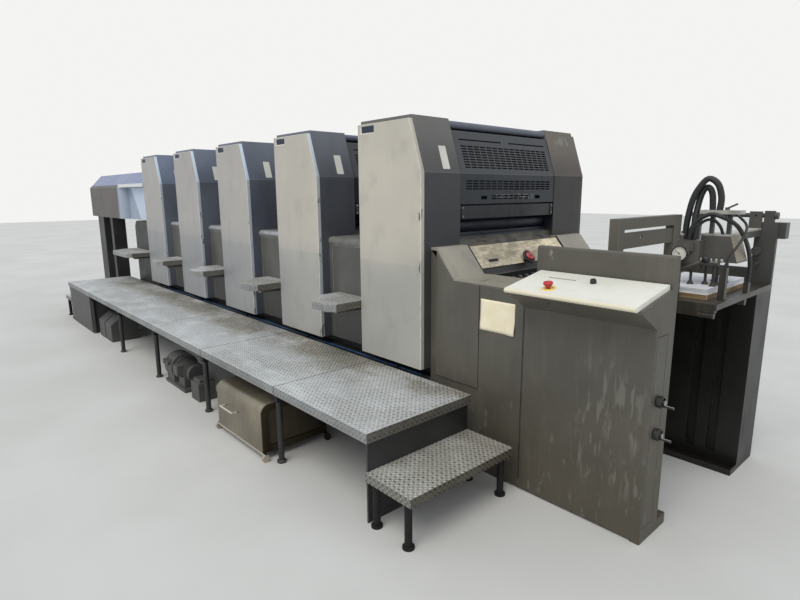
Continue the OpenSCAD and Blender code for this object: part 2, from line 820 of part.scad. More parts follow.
portal_x = infeed_x1 + 172;
portal_y0 = guard_y0 + 155;
portal_y1 = guard_y1 - 39;

module feed_portal() {
  bar_h = 52;
  post_l = 45;
  plate = [8, 75];
  plate_z = portal_z - 141;
  wheel_y = [portal_y0 + 130, portal_y0 + 350, portal_y0 + 560];
  color([0.2, 0.21, 0.22]) {
    // Feed table behind the console
    block([infeed_x1, pile_y0, pile_z - pile_t], [table_x1 - seat_gap, frame_y1, infeed_top]);
    difference() {
      block([portal_x, portal_y0, infeed_top], [portal_x + post_l, portal_y1, portal_z]);
      block([portal_x - over, portal_y0 + portal_post, infeed_top - over],
        [portal_x + post_l + over, portal_y1 - portal_post * 1.5, portal_z - bar_h]);
    }
    // Inner plate with a round hole
    difference() {
      block([portal_x + 30, portal_y0 + portal_post, plate_z],
        [portal_x + 30 + plate[0], portal_y1 - portal_post * 1.5, plate_z + plate[1]]);
      bar_x(portal_y0 + 250, plate_z + 45, 10, portal_x, portal_x + portal_post);
    }
    // Roller shaft across the table with its sheet wheels
    for (y = [portal_y0 + 6, portal_y1 - 24]) {
      block([portal_x - 62, y, infeed_top], [portal_x - 34, y + 18, infeed_top + 62]);
    }
    bar_y(portal_x - 48, infeed_top + 44, 8, portal_y0 + 6, portal_y1 - 6);
    for (y = wheel_y) {
      bar_y(portal_x - 48, infeed_top + 44, 30, y - 12, y + 12);
    }
  }
}

module pile_plate() {
  rail = [26, 32];
  rail_z0 = pile_z - pile_t - rail[1];
  plate_x0 = table_x1;
  color([0.32, 0.32, 0.31]) {
    block([plate_x0, pile_y0, pile_z - pile_t], [pile_x1, frame_y1, pile_z]);
    // Edge rail with a roller at its feeder end
    block([plate_x0, pile_y0, rail_z0], [frame_x1 - 60, pile_y0 + rail[0], pile_z - pile_t]);
    block([frame_x1 - 60, pile_y0, pile_z - pile_t - 12], [frame_x1, pile_y0 + rail[0], pile_z - pile_t]);
    bar_x(pile_y0 + rail[0] / 2, rail_z0 + 8, 13, frame_x1 - 60, frame_x1 - 4);
    // Cross bearers
    for (x = [plate_x0 + 40, frame_x1 - 110]) {
      block([x, pile_y0 + rail[0], rail_z0], [x + 40, wall_y0, pile_z - pile_t]);
    }
    // Feeler knob under the feeder edge
    bar_x(pile_y0 + 369, pile_z - pile_t - 14, 16, frame_x1 - 24, frame_x1 + 4);
    // Pivot block and blow nozzle that stand on the plate
    block([pile_x1 - 200, pile_y0 + 15, pile_z], [pile_x1 - 165, pile_y0 + 43, pile_z + 110]);
    block([pile_x1 - 22, pile_y0 + 386, pile_z], [pile_x1 - 2, pile_y0 + 414, pile_z + 47]);
    // Corner guide beside the stack
    block([pile_x1 - 38, pile_y0 + 112, pile_z], [pile_x1 - 12, pile_y0 + 138, pile_z + 137]);
  }
}

stack_x1 = pile_x1 - 65;
stack_y0 = pile_y0 + 76;
stack_z = pile_z + board_t + paper_t;

module paper_stack() {
  inset = 5;
  color([0.9, 0.9, 0.88]) {
    block([stack_x1 - stack_len, stack_y0, pile_z], [stack_x1, stack_y0 + stack_w, pile_z + board_t]);
    block([stack_x1 - stack_len + inset, stack_y0 + inset, pile_z + board_t],
      [stack_x1 - inset, stack_y0 + stack_w - inset, stack_z]);
  }
}

head_x = frame_x1 - 152;
head_y = (guard_y0 + guard_y1) / 2;
head_y0 = head_y - head_w / 2;
head_y1 = head_y + head_w / 2;
valve_z = head_z1 - 27;
bar_z = head_z1 + 103;

// Lifting sucker with its rubber cup: a stem and a short cone
module sucker(x, y, z0, z1) {
  translate([x, y, z0 + 14]) cylinder(r = 6, h = z1 - z0 - 14);
  translate([x, y, z0 + 14]) rotate([180, 0, 0]) rotate_extrude()
    polygon([[0, 0], [8, 0], [15, 14], [0, 14]]);
}

module suction_head() {
  valve = [76, 58, 127];
  lip = 6;
  color([0.22, 0.22, 0.23]) {
    // Body, narrower at the top on its feeder side, and its top plate
    along_y(head_y0, head_y1) polygon([
      [head_x, head_z0], [head_x + head_len, head_z0], [head_x + head_top_len, head_z1 - lip],
      [head_x + head_top_len, head_z1], [head_x - lip, head_z1], [head_x - lip, head_z1 - lip],
      [head_x, head_z1 - lip]
    ]);
    // Valve block with the gauge and a small relief valve
    block([head_x - valve[0], head_y0 - valve[1], valve_z - valve[2]], [head_x + 18, head_y0, valve_z]);
    block([head_x - 44, head_y0 - valve[1] - 14, valve_z - 46], [head_x - 4, head_y0 - valve[1], valve_z - 12]);
    bar_y(head_x - 52, 1113, gauge_r, head_y0 - valve[1] - 24, head_y0 - valve[1]);
    translate([head_x - 62, head_y0 - 46, valve_z]) cylinder(r = 9, h = 26);
    translate([head_x - 62, head_y0 - 46, valve_z + 26]) cylinder(r = 5, h = 12);
    // Cross bar on two posts, where the large hoses end
    block([head_x - lip, head_y0 - 26, bar_z - 16], [head_x + head_len, head_y0 + 40, bar_z]);
    for (x = [head_x + 24, head_x + 92]) {
      block([x, head_y0 + 18, head_z1], [x + 16, head_y0 + 36, bar_z - 16]);
    }
    // Small lever on the cross bar
    translate([head_x + 92, head_y0 + 6, bar_z]) cylinder(r = 9, h = 12);
    translate([head_x + 92, head_y0 + 6, bar_z + 8]) rotate([0, 63, 0]) cylinder(r = 4, h = 42);
    // Arm that carries the head from the drive-side rail
    block([head_x + 30, head_y1, head_z1 - 38], [head_x + 84, frame_y1 - 14, head_z1]);
    difference() {
      block([head_x + 30, frame_y1 - 14, head_z1 - 38], [head_x + 84, frame_y1, rail_z + 20]);
      bar_y(head_x + 57, rail_z, 5, frame_y1 - 20, frame_y1 + over);
    }
    // Suckers at the front and the back of the head, and the foot that reaches over the stack
    for (y = [head_y0 + 12, head_y1 - 12]) {
      sucker(head_x + 30, y, stack_z, head_z0);
      sucker(head_x + 78, y, stack_z, head_z0);
    }
    block([head_x - 30, head_y0 - 36, head_z0 - 16], [head_x + 92, head_y0 - 14, head_z0]);
    block([head_x + 10, head_y0 - 14, head_z0 - 16], [head_x + 40, head_y0 + 20, head_z0]);
    sucker(head_x - 18, head_y0 - 25, stack_z, head_z0 - 16);
    sucker(head_x + 74, head_y0 - 25, stack_z, head_z0 - 16);
    // Hand lever with a ball knob, on the pivot block at the plate's edge
    translate([pile_x1 - 181, pile_y0 + 29, pile_z + 110]) cylinder(r = 9, h = 14);
    translate([pile_x1 - 181, pile_y0 + 29, pile_z + 118]) rotate([0, 63, 0]) cylinder(r = 4.5, h = 128);
    translate([pile_x1 - 67, pile_y0 + 29, pile_z + 176]) rotate([0, 63, 0]) sphere(r = 17);
  }
}

// Routes of the air hoses, from the head's corner at its own height
big_route_1 = [[-59, -14, -27], [-59, -14, 48], [-44, -14, 145], [-20, -12, 201], [12, -10, 236],
  [50, -8, 213], [68, -6, 156], [66, -6, 103]];
big_route_2 = [[-27, -14, -27], [-27, -14, 40], [-25, 6, 131], [-13, 12, 184], [6, 14, 200],
  [24, 16, 172], [31, 16, 103]];
thin_route_1 = [[-31, -46, -27], [-24, -46, 27], [4, -46, 64], [46, -46, 86], [92, -38, 74], [131, 8, 42],
  [153, 60, -14], [155, 130, -77], [153, 176, -145], [149, 190, -222]];
thin_route_2 = [[-10, -46, -27], [-4, -42, 20], [6, -36, 44], [28, -30, 61], [56, -26, 60], [76, -10, 34],
  [84, 8, 0]];
cable_route = [[96, 40, 95], [98, 58, 94], [124, 62, 74], [160, 40, 42], [173, -10, 4], [164, -56, -40],
  [146, -80, -84], [133, -86, -132]];
// Directions in which a hose leaves and meets its seats
down = [0, 0, -1];
up = [0, 0, 1];
back = [0, 1, 0];

function catmull(a, b, c, d, t) =
  0.5 * (2 * b + (c - a) * t + (2 * a - 5 * b + 4 * c - d) * t * t + (3 * b - a - 3 * c + d) * t * t * t);
// Smooth curve through a route's points, with n steps between two of them
function smooth(p, n) = concat(
  [for (k = [0:len(p) - 2]) for (j = [0:n - 1])
    catmull(p[max(k - 1, 0)], p[k], p[k + 1], p[min(k + 2, len(p) - 1)], j / n)],
  [p[len(p) - 1]]
);
function unit(v) = v / norm(v);
// Directions of the curve at its points, square to the seats at both ends
function headings(c, start, end) = [for (k = [0:len(c) - 1])
  k == 0 ? start : k == len(c) - 1 ? end : unit(c[k + 1] - c[k - 1])];
// Side directions along the curve, each turned as little as possible from the last
function sides(h, last, k = 0) = k == len(h) ? [] :
  let (s = unit(last - (last * h[k]) * h[k])) concat([s], sides(h, s, k + 1));

module hose(route, r, start = up, end = down, n = 4, facets = 10) {
  c = smooth(route, n);
  h = headings(c, start, end);
  s = sides(h, [0.9, 0.3, 0.1]);
  rings = len(c);
  points = [for (k = [0:rings - 1]) let (rise = cross(h[k], s[k]))
    for (j = [0:facets - 1]) c[k] + r * (cos(360 * j / facets) * s[k] + sin(360 * j / facets) * rise)];
  walls = [for (k = [0:rings - 2]) for (j = [0:facets - 1])
    let (a = k * facets + j, b = k * facets + (j + 1) % facets)
    each [[a, b + facets, b], [a, a + facets, b + facets]]];
  polyhedron(points, concat(
    walls, [[for (j = [0:facets - 1]) j]], [[for (j = [facets - 1:-1:0]) (rings - 1) * facets + j]]
  ));
}

module air_hoses() {
  color([0.1, 0.1, 0.1]) translate([head_x, head_y0, head_z1]) {
    hose(big_route_1, big_hose_r);
    hose(big_route_2, big_hose_r);
    hose(thin_route_1, hose_r);
    hose(thin_route_2, hose_r * 0.7);
    hose(cable_route, hose_r * 0.6, back, down);
  }
}

// Delivery

delivery_x0 = units_x0 - delivery_len;
low_x0 = units_x0 - low_len;
box_x1 = low_x0 - 120;
leg_x0 = delivery_x0 + 265;
leg_pitch = 560;
low_top = box_z - 15;

module delivery_housing() {
  color([0.33, 0.32, 0.31]) {
    // Roof with sloping sides
    along_x(delivery_x0, units_x0) polygon([
      [-cover_y, eaves_z], [cover_y, eaves_z], [tower_half - 130, delivery_top],
      [-tower_half + 130, delivery_top]
    ]);
    // Tall box with rounded upright corners towards the towers
    translate([0, 0, box_z]) linear_extrude(eaves_z - box_z) polygon(concat(
      [[delivery_x0, -cover_y]], arc(box_x1 - box_r, -cover_y + box_r, box_r, -90, 0),
      arc(box_x1 - box_r, cover_y - box_r, box_r, 0, 90), [[delivery_x0, cover_y]]
    ));
    block([box_x1 - over, -bed_half, box_z], [units_x0, bed_half, eaves_z]);
  }
}

module delivery_guard() {
  panel = 20;
  lip_out = 12;
  // Upper and lower length of the slanting panel, from the last tower
  reach = [620, 345];
  color([0.72, 0.74, 0.78]) for (s = [-1, 1]) {
    scale([1, s, 1]) {
      along_y(bed_half, bed_half + panel) polygon([
        [units_x0 - reach[0], eaves_z - 6], [units_x0 - reach[1], box_z], [units_x0 - 5, box_z],
        [units_x0 - 5, eaves_z - 6]
      ]);
      // Lip along the roof's edge
      block([box_x1 - 90, cover_y, eaves_z - 4], [units_x0, cover_y + lip_out, eaves_z - 4 + lip_h]);
    }
  }
}

module delivery_frame() {
  low_r = 95;
  inner_w = 90;
  color([0.2, 0.19, 0.18]) {
    // Low housing with a rounded edge towards the pile
    along_y(-bed_half, bed_half) polygon(concat(
      [[units_x0, 0], [units_x0, low_top]], arc(low_x0 + low_r, low_top - low_r, low_r, 90, 180),
      [[low_x0, 0]]
    ));
    // Two large outer posts and two slim inner ones
    for (s = [-1, 1]) {
      y = s * (cover_y - post_d / 2);
      block([leg_x0, y - post_d / 2, 0], [leg_x0 + post_w, y + post_d / 2, box_z]);
      block([leg_x0 + leg_pitch, y - post_d / 2, 0], [leg_x0 + leg_pitch + inner_w, y + post_d / 2, box_z]);
    }
  }
}

// Walkways and steps

deck_y1 = -cover_y - 3;
deck_y0 = deck_y1 - deck_d;
deck_x1 = units_x1 + 355;
back_y0 = cover_y + 3;
bearer_h = 40;
bearer_w = 40;
plate_z = 8;
rim_t = 6;
// Places of the seams, and of the bearers under them
seam_x = [for (k = [0:5]) deck_x1 - deck_end_len - k * deck_len];
bearer_x = [for (k = [0:5]) k == 5 ? seam_x[k] + bearer_w / 2 + 1 : seam_x[k]];
back_bearer_x = [for (k = [0:5]) k == 0 ? seam_x[k] - bearer_w / 2 - 1 : bearer_x[k]];

// Tread plate with a rim, open below
module deck(x0, x1, y0, y1, z, rim) {
  difference() {
    block([x0, y0, z - rim], [x1, y1, z]);
    block([x0 + rim_t, y0 + rim_t, z - rim - over], [x1 - rim_t, y1 - rim_t, z - plate_z]);
  }
}

// Bearer under a seam, fixed to the bed's side
module bearer(x, y0, y1) {
  block([x - bearer_w / 2, y0, deck_z - deck_rim - bearer_h], [x + bearer_w / 2, y1, deck_z - deck_rim]);
}

module gallery_deck() {
  color([0.55, 0.56, 0.56]) {
    deck(seam_x[0] + 1, deck_x1, deck_y0, deck_y1, deck_z, deck_rim);
    for (k = [0:4]) {
      deck(seam_x[k + 1] + 1, seam_x[k] - 1, deck_y0, deck_y1, deck_z, deck_rim);
    }
    for (x = bearer_x) {
      bearer(x, deck_y0 + 8, -bed_half);
    }
  }
}

module leg(x, y, top) {
  foot_h = 12;
  translate([x, y, foot_h]) cylinder(r = leg_r, h = top - foot_h);
  translate([x, y, 0]) cylinder(r = leg_r + 9, h = foot_h);
}

riser_x = deck_x1 - 30;
riser_t = 8;

module gallery_legs() {
  top = deck_z - deck_rim - bearer_h;
  color([0.12, 0.12, 0.12]) {
    for (x = bearer_x) {
      for (y = [deck_y0 + 28, deck_y1 - 30]) {
        leg(x, y, top);
      }
    }
    for (x = back_bearer_x) {
      for (y = [back_y0 + 30, back_y0 + back_deck_d - 28]) {
        leg(x, y, top);
      }
    }
    // Dark riser under the end next to the feeder
    block([riser_x, deck_y0 + 20, 0], [riser_x + riser_t, deck_y1, deck_z - deck_rim]);
  }
}

// Lower step at each end of the operator's walkway
module entry_step() {
  rim = 40;
  x0 = riser_x + riser_t;
  x1 = x0 + entry_d;
  far_x1 = bearer_x[5] - leg_r - seat_gap;
  inset = leg_r + 24;
  color([0.55, 0.56, 0.56]) {
    deck(x0, x1, deck_y0 + 10, deck_y1, entry_z, rim);
    for (x = [x0 + inset, x1 - inset]) {
      for (y = [deck_y0 + 35, deck_y1 - 35]) {
        leg(x, y, entry_z - plate_z);
      }
    }
    deck(far_x1 - entry_d, far_x1, deck_y0 + 10, deck_y1, entry_z, rim);
    for (x = [far_x1 - entry_d + inset, far_x1 - inset]) {
      for (y = [deck_y0 + 35, deck_y1 - 35]) {
        leg(x, y, entry_z - plate_z);
      }
    }
  }
}

module drive_gallery() {
  color([0.55, 0.56, 0.56]) {
    for (k = [0:4]) {
      deck(seam_x[k + 1] + 1, seam_x[k] - 1, back_y0, back_y0 + back_deck_d, deck_z, deck_rim);
    }
    for (x = back_bearer_x) {
      bearer(x, bed_half, back_y0 + back_deck_d - 8);
    }
  }
}

// Service units under the operator's walkway

tank_x0 = seam_x[0] - 610;
tank_y0 = deck_y0 - 40;

module service_tank() {
  z0 = 42;
  x1 = tank_x0 + tank_len;
  y1 = tank_y0 + tank_d;
  z1 = z0 + tank_h;
  rod_r = 9;
  wheel_r = 20;
  handle = [116, 150, 34];
  color([0.55, 0.54, 0.5]) {
    difference() {
      rounded_top(tank_x0, x1, tank_y0, y1, z0, z1, tank_r);
      // Pressed panel in each end
      for (x = [tank_x0 - over, x1 - 6]) {
        rounded_top(x, x + 6 + over, tank_y0 + 42, y1 - 42, z0 + 34, z1 - 34, tank_r * 0.6);
      }
    }
    // Bar handle on the operator side
    for (x = [tank_x0 + handle[0], tank_x0 + handle[0] + handle[1]]) {
      bar_y(x, z0 + 150, 5, tank_y0 - handle[2], tank_y0);
    }
    bar_x(tank_y0 - handle[2], z0 + 150, 5, tank_x0 + handle[0] - 5, tank_x0 + handle[0] + handle[1] + 5);
    // Filler cap and latches
    translate([tank_x0 + tank_len * 0.62, tank_y0 + tank_d * 0.4, z1]) cylinder(r = 24, h = 12);
    translate([tank_x0 + tank_len * 0.62, tank_y0 + tank_d * 0.4, z1 + 12]) cylinder(r = 10, h = 8);
    for (x = [tank_x0 + 60, x1 - 90]) {
      block([x, y1 - 8, z1 - 88], [x + 34, y1 + 12, z1 - 40]);
    }
    // Cradle rods on four wheels
    for (y = [tank_y0 + 6, y1 - 6]) {
      bar_x(y, z0 - rod_r + 2, rod_r, tank_x0 - 24, x1 + 24);
      for (x = [tank_x0 - 24, x1 + 8]) {
        bar_x(y, wheel_r, wheel_r, x, x + 16);
      }
    }
  }
}

module pump_unit() {
  x0 = unit_x(3) - 20;
  y0 = deck_y0 + 22;
  mid_y = y0 + blower_r + 10;
  mid_z = blower_r + 22;
  drum = 150;
  collar = 18;
  motor = blower_len - drum - collar * 2;
  color([0.2, 0.2, 0.2]) {
    // Base plate with two feet
    block([x0, y0 + 14, 0], [x0 + blower_len - 20, y0 + 2 * blower_r - 6, 22]);
    block([x0 + 18, y0 + 24, 22], [x0 + drum, y0 + 2 * blower_r - 16, mid_z - blower_r * 0.4]);
    block([x0 + drum + 70, y0 + 34, 22], [x0 + blower_len - 70, y0 + 2 * blower_r - 26, mid_z - blower_r * 0.3]);
    // Drum, collar and ribbed motor
    bar_x(mid_y, mid_z, blower_r, x0 + 10, x0 + drum);
    bar_x(mid_y, mid_z, blower_r * 0.78, x0 + drum, x0 + drum + collar);
    bar_x(mid_y, mid_z, blower_r * 0.64, x0 + drum + collar, x0 + drum + collar + motor);
    for (k = [0:8]) {
      bar_x(mid_y, mid_z, blower_r * 0.72, x0 + drum + collar + 16 + k * 18, x0 + drum + collar + 22 + k * 18);
    }
    // Terminal box and the two port stubs
    block([x0 + drum + 50, y0 + 4, mid_z - 20], [x0 + drum + 130, mid_y - blower_r * 0.4, mid_z + 52]);
    for (x = [x0 + 44, x0 + 106]) {
      bar_y(x, mid_z + blower_r * 0.45, 20, y0 - 6, mid_y);
    }
  }
}

module service_boxes() {
  under = deck_z - deck_rim;
  cabinet_y0 = deck_y0 + 2;
  box_y0 = deck_y0 + 40;
  color([0.3, 0.3, 0.31]) {
    // Control cabinet under the last section
    difference() {
      block([seam_x[5] + 50, cabinet_y0, 0], [seam_x[4] - 30, cabinet_y0 + 420, under]);
      for (x = [seam_x[5] + 66, seam_x[5] + deck_len / 2]) {
        block([x, cabinet_y0 - over, 46], [x + 3, cabinet_y0 + 3, under - 30]);
      }
    }
    // Two boxes with sloping lids
    for (x = [seam_x[4] + 110, seam_x[4] + 330]) {
      along_x(x, x + 190) polygon([
        [box_y0, 0], [box_y0 + 240, 0], [box_y0 + 240, 235], [box_y0 + 90, 235], [box_y0, 165]
      ]);
    }
    // Small filter box beside the blower
    block([unit_x(3) + 470, box_y0, 0], [unit_x(3) + 600, box_y0 + 120, 128]);
    block([unit_x(3) + 486, box_y0 + 16, 128], [unit_x(3) + 584, box_y0 + 104, 150]);
  }
}

base_frame();
unit_body(1);  // unit_body_1
unit_body(2);  // unit_body_2
unit_body(3);  // unit_body_3
unit_body(4);  // unit_body_4
unit_body(5);  // unit_body_5
side_cover(1);  // side_cover_1
side_cover(2);  // side_cover_2
side_cover(3);  // side_cover_3
side_cover(4);  // side_cover_4
side_cover(5);  // side_cover_5
guard(1);  // guard_1
guard(2);  // guard_2
guard(3);  // guard_3
guard(4);  // guard_4
guard(5);  // guard_5
drive_covers();
transfer_housing(1);  // transfer_housing_1
transfer_housing(2);  // transfer_housing_2
transfer_housing(3);  // transfer_housing_3
transfer_housing(4);  // transfer_housing_4
footstep(1);  // footstep_1
footstep(2);  // footstep_2
footstep(3);  // footstep_3
footstep(4);  // footstep_4
delivery_shelf();
infeed_housing();
infeed_cover();
infeed_mechanism();
setting_knob();
feeder_console();
desk_plate();
stop_button();
crank(crank_upper_z);  // crank_upper
crank(crank_lower_z);  // crank_lower
feeder_frame();
feed_portal();
pile_plate();
paper_stack();
suction_head();
air_hoses();
delivery_housing();
delivery_guard();
delivery_frame();
gallery_deck();
gallery_legs();
entry_step();
drive_gallery();
service_tank();
pump_unit();
service_boxes();
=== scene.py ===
"""Looks of the sheet-fed offset printing press: finishes, small fittings, floor, light and camera."""
import math
import bpy
import bmesh
from mathutils import Matrix, Vector


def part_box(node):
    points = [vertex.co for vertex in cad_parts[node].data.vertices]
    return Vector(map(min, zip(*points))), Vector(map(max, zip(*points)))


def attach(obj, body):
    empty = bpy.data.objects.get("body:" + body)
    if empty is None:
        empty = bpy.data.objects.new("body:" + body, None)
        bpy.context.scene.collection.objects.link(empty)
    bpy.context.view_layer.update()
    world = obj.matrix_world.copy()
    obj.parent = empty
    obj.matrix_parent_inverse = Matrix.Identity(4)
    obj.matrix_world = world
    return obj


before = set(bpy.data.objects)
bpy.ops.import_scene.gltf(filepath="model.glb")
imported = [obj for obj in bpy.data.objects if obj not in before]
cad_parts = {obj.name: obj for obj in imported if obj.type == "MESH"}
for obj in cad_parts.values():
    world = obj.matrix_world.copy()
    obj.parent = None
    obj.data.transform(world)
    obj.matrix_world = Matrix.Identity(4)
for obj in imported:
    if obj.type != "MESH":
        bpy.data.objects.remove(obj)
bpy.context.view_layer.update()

# The view: a person stands off the feeder's operator-side corner and holds a wide-angle
# camera at eye height, looking along the machine. The three turns are in degrees.
eye = (4.0992, -2.6949, 1.3845)
turned, tipped, rolled = 48.0686, 11.1433, -0.3693
lens = bpy.data.cameras.new("view")
lens.lens = 24.5466
lens.sensor_width = 36
camera = bpy.data.objects.new("view", lens)
bpy.context.scene.collection.objects.link(camera)
camera.matrix_world = (
    Matrix.Translation(eye)
    @ Matrix.Rotation(math.radians(turned), 4, "Z")
    @ Matrix.Rotation(math.radians(90 - tipped), 4, "X")
    @ Matrix.Rotation(math.radians(rolled), 4, "Z")
)
bpy.context.scene.camera = camera
bpy.context.scene.view_settings.view_transform = "Standard"


# The hall: a plain pale floor under soft skylight. The world gives the level light and one
# broad lamp over the operator side gives the soft shadows.
class Wire:
    """One output socket of a material. Operators on it add Math nodes."""

    def __init__(self, tree, socket=None):
        self.tree = tree
        self.socket = socket

    def node(self, kind, settings=None, values=None, out=0):
        made = self.tree.nodes.new("ShaderNode" + kind)
        for name, setting in (settings or {}).items():
            setattr(made, name, setting)
        for name, value in (values or {}).items():
            if isinstance(value, Wire):
                self.tree.links.new(value.socket, made.inputs[name])
            elif isinstance(value, tuple) and made.inputs[name].type == "RGBA":
                made.inputs[name].default_value = (*value, 1)
            else:
                made.inputs[name].default_value = value
        return Wire(self.tree, made.outputs[out])

    def maths(self, operation, *values):
        return self.node("Math", {"operation": operation}, dict(enumerate(values)))

    def __add__(self, other):
        return self.maths("ADD", self, other)

    __radd__ = __add__

    def __sub__(self, other):
        return self.maths("SUBTRACT", self, other)

    def __rsub__(self, other):
        return self.maths("SUBTRACT", other, self)

    def __mul__(self, other):
        return self.maths("MULTIPLY", self, other)

    __rmul__ = __mul__

    def __truediv__(self, other):
        return self.maths("DIVIDE", self, other)

    def __abs__(self):
        return self.maths("ABSOLUTE", self)


def finish(name):
    """A new material: its shader and a bare wire in its tree."""
    material = bpy.data.materials.new(name)
    material.use_nodes = True
    return material, material.node_tree.nodes["Principled BSDF"], Wire(material.node_tree)


def plug(wire, shader, socket):
    wire.tree.links.new(wire.socket, shader.inputs[socket])


def three(tree, vector):
    """The three parts of a vector."""
    split = tree.node("SeparateXYZ", values={0: vector}).socket.node
    return [Wire(tree.tree, split.outputs[k]) for k in range(3)]


def place_of(tree):
    """X, Y and Z of a point, in metres from the press's origin."""
    return three(tree, tree.node("TexCoord", out=3))


def facing(tree):
    """X, Y and Z of a surface's normal."""
    return three(tree, tree.node("TexCoord", out=1))


def cloud(tree, size, detail=3, stretch=(1, 1, 1), shift=(0, 0, 0), rough=0.5):
    """Noise from 0 to 1 with patches about size metres across, drawn out along an axis by stretch."""
    point = tree.node("TexCoord", out=3)
    laid = tree.node("Mapping", values={
        "Vector": point, "Location": shift, "Scale": tuple(1 / (size * s) for s in stretch)})
    return tree.node("TexNoise", values={
        "Vector": laid, "Scale": 1.0, "Detail": detail, "Roughness": rough})


def ramp(value, low, high, start=0.0, end=1.0):
    """value carried from low..high to start..end, held at both ends."""
    return value.node("MapRange", {"interpolation_type": "SMOOTHSTEP"}, {
        "Value": value, "From Min": low, "From Max": high, "To Min": start, "To Max": end})


def fall(value, low, high):
    """1 below low and 0 above high."""
    return ramp(value, low, high, 1, 0)


def band(value, low, high, soft):
    """1 from low to high and 0 outside, over edges that are soft wide."""
    return ramp(value, low - soft, low + soft) * fall(value, high - soft, high + soft)


def mix(share, first, second):
    return share.node("Mix", {"data_type": "RGBA"}, {0: share, 6: first, 7: second}, out=2)


def stain(share, shown, colour):
    """shown multiplied by colour, by as much as share says."""
    return share.node("Mix", {"data_type": "RGBA", "blend_type": "MULTIPLY"},
                      {0: share, 6: shown, 7: colour}, out=2)


def relief(height, depth):
    return height.node("Bump", values={"Strength": 1.0, "Distance": depth, "Height": height})


def mottled(name, size, detail, dull, bright, rough, spread=0.2):
    """A plain material whose colour wanders between two tones in patches size metres across."""
    material, shader, tree = finish(name)
    patch = ramp(cloud(tree, size, detail), 0.5 - spread, 0.5 + spread)
    plug(mix(patch, dull, bright), shader, "Base Color")
    shader.inputs["Roughness"].default_value = rough
    return material


world = bpy.data.worlds.new("skylight")
bpy.context.scene.world = world
world.use_nodes = True
sky = Wire(world.node_tree)
shade = world.node_tree.nodes["Background"]
seen = sky.node("LightPath", out=0)
glossy = sky.node("LightPath", out=3)
direct = sky.maths("MAXIMUM", seen, glossy * 0.35)
plug(mix(direct, (0.86, 0.93, 1.0), (0.93, 0.93, 0.92)), shade, "Color")
plug(ramp(direct, 0, 1, 0.72, 0.97), shade, "Strength")

lamp_way = Vector((-0.22, 0.62, -1.0))
roof_light = bpy.data.objects.new("roof_light", bpy.data.lights.new("roof_light", "SUN"))
roof_light.data.energy = 1.35
roof_light.data.angle = math.radians(38)
roof_light.data.color = (1.0, 0.965, 0.9)
roof_light.matrix_world = lamp_way.to_track_quat("-Z", "Y").to_matrix().to_4x4()
bpy.context.scene.collection.objects.link(roof_light)

bpy.ops.object.select_all(action="DESELECT")
bpy.ops.mesh.primitive_plane_add(size=60, location=(0, 0, 0))
floor = bpy.context.object
floor.name = "floor"
floor.data.materials.append(mottled("pale_floor", 0.9, 5, (0.60, 0.59, 0.565), (0.66, 0.65, 0.63), 0.75))


# The machine bed: one long dark-painted steel plinth that carries the towers, with a toe
# recess on both sides. Sheet steel, folded and screwed, dull with years of floor dust.
def worn_paint(name, colour, dust, edge_wear_and_highlight, gloss=0.5, streaks=0.35, clouds=0.22, specks=0.0, metal=0.0, tone=None):
    """Painted sheet steel: clouded colour, soft wipes down the panel, fine dents and settled dust.
    tone changes the colour by X, Y and Z. Returns the paint and the paint of its rubbed edges, which is light both
    as wear and as a painted highlight on the bevels."""
    made = []
    for rubbed in (False, True):
        material, shader, tree = finish(name + ("_worn_highlit" if rubbed else ""))
        patch = ramp(cloud(tree, 0.35, 4), 0.3, 0.7)
        wiped = ramp(cloud(tree, 0.05, 5, (1, 1, 7), (0, 0, 0), 0.62), 0.48, 0.72)
        drawn = ramp(cloud(tree, 0.009, 3, (1, 1, 30), (4, 0, 1)), 0.5, 0.75)
        fine = cloud(tree, 0.004, 2)
        grime = ramp(cloud(tree, 0.09, 5, (1, 1, 1.6), (3, 1, 2)), 0.5, 0.78)
        low = tuple(c * (1 - clouds) for c in colour)
        high = tuple(min(1, c * (1 + clouds)) for c in colour)
        shown = mix(patch, low, high)
        shown = mix((wiped * 0.7 + drawn * 0.3) * (streaks * patch), shown, dust)
        shown = mix(grime * 0.25, shown, tuple(c * 0.55 for c in colour))
        if specks:
            dots = tree.node("TexVoronoi", values={"Vector": tree.node("TexCoord", out=3), "Scale": 60.0})
            spot = fall(dots, 0.05, 0.13) * ramp(cloud(tree, 0.16, 2, shift=(7, 2, 5)), 0.56, 0.66)
            shown = mix(spot * specks, shown, dust)
        if tone:
            shown = tone(tree, shown, *place_of(tree))
        if rubbed:
            # Rubbed wear and painted highlight: the bevels' paint is mixed towards the light edge colour.
            shown = mix(ramp(cloud(tree, 0.05, 4, shift=(1, 5, 3)), 0.3, 0.6, 0.35, 0.95), shown, edge_wear_and_highlight)
        plug(shown, shader, "Base Color")
        plug(gloss + 0.14 * patch + 0.2 * (wiped * patch) - 0.06 * fine, shader, "Roughness")
        plug(relief(fine + 2.5 * cloud(tree, 0.18, 1), 0.0006), shader, "Normal")
        shader.inputs["Metallic"].default_value = metal
        made.append(material)
    return made


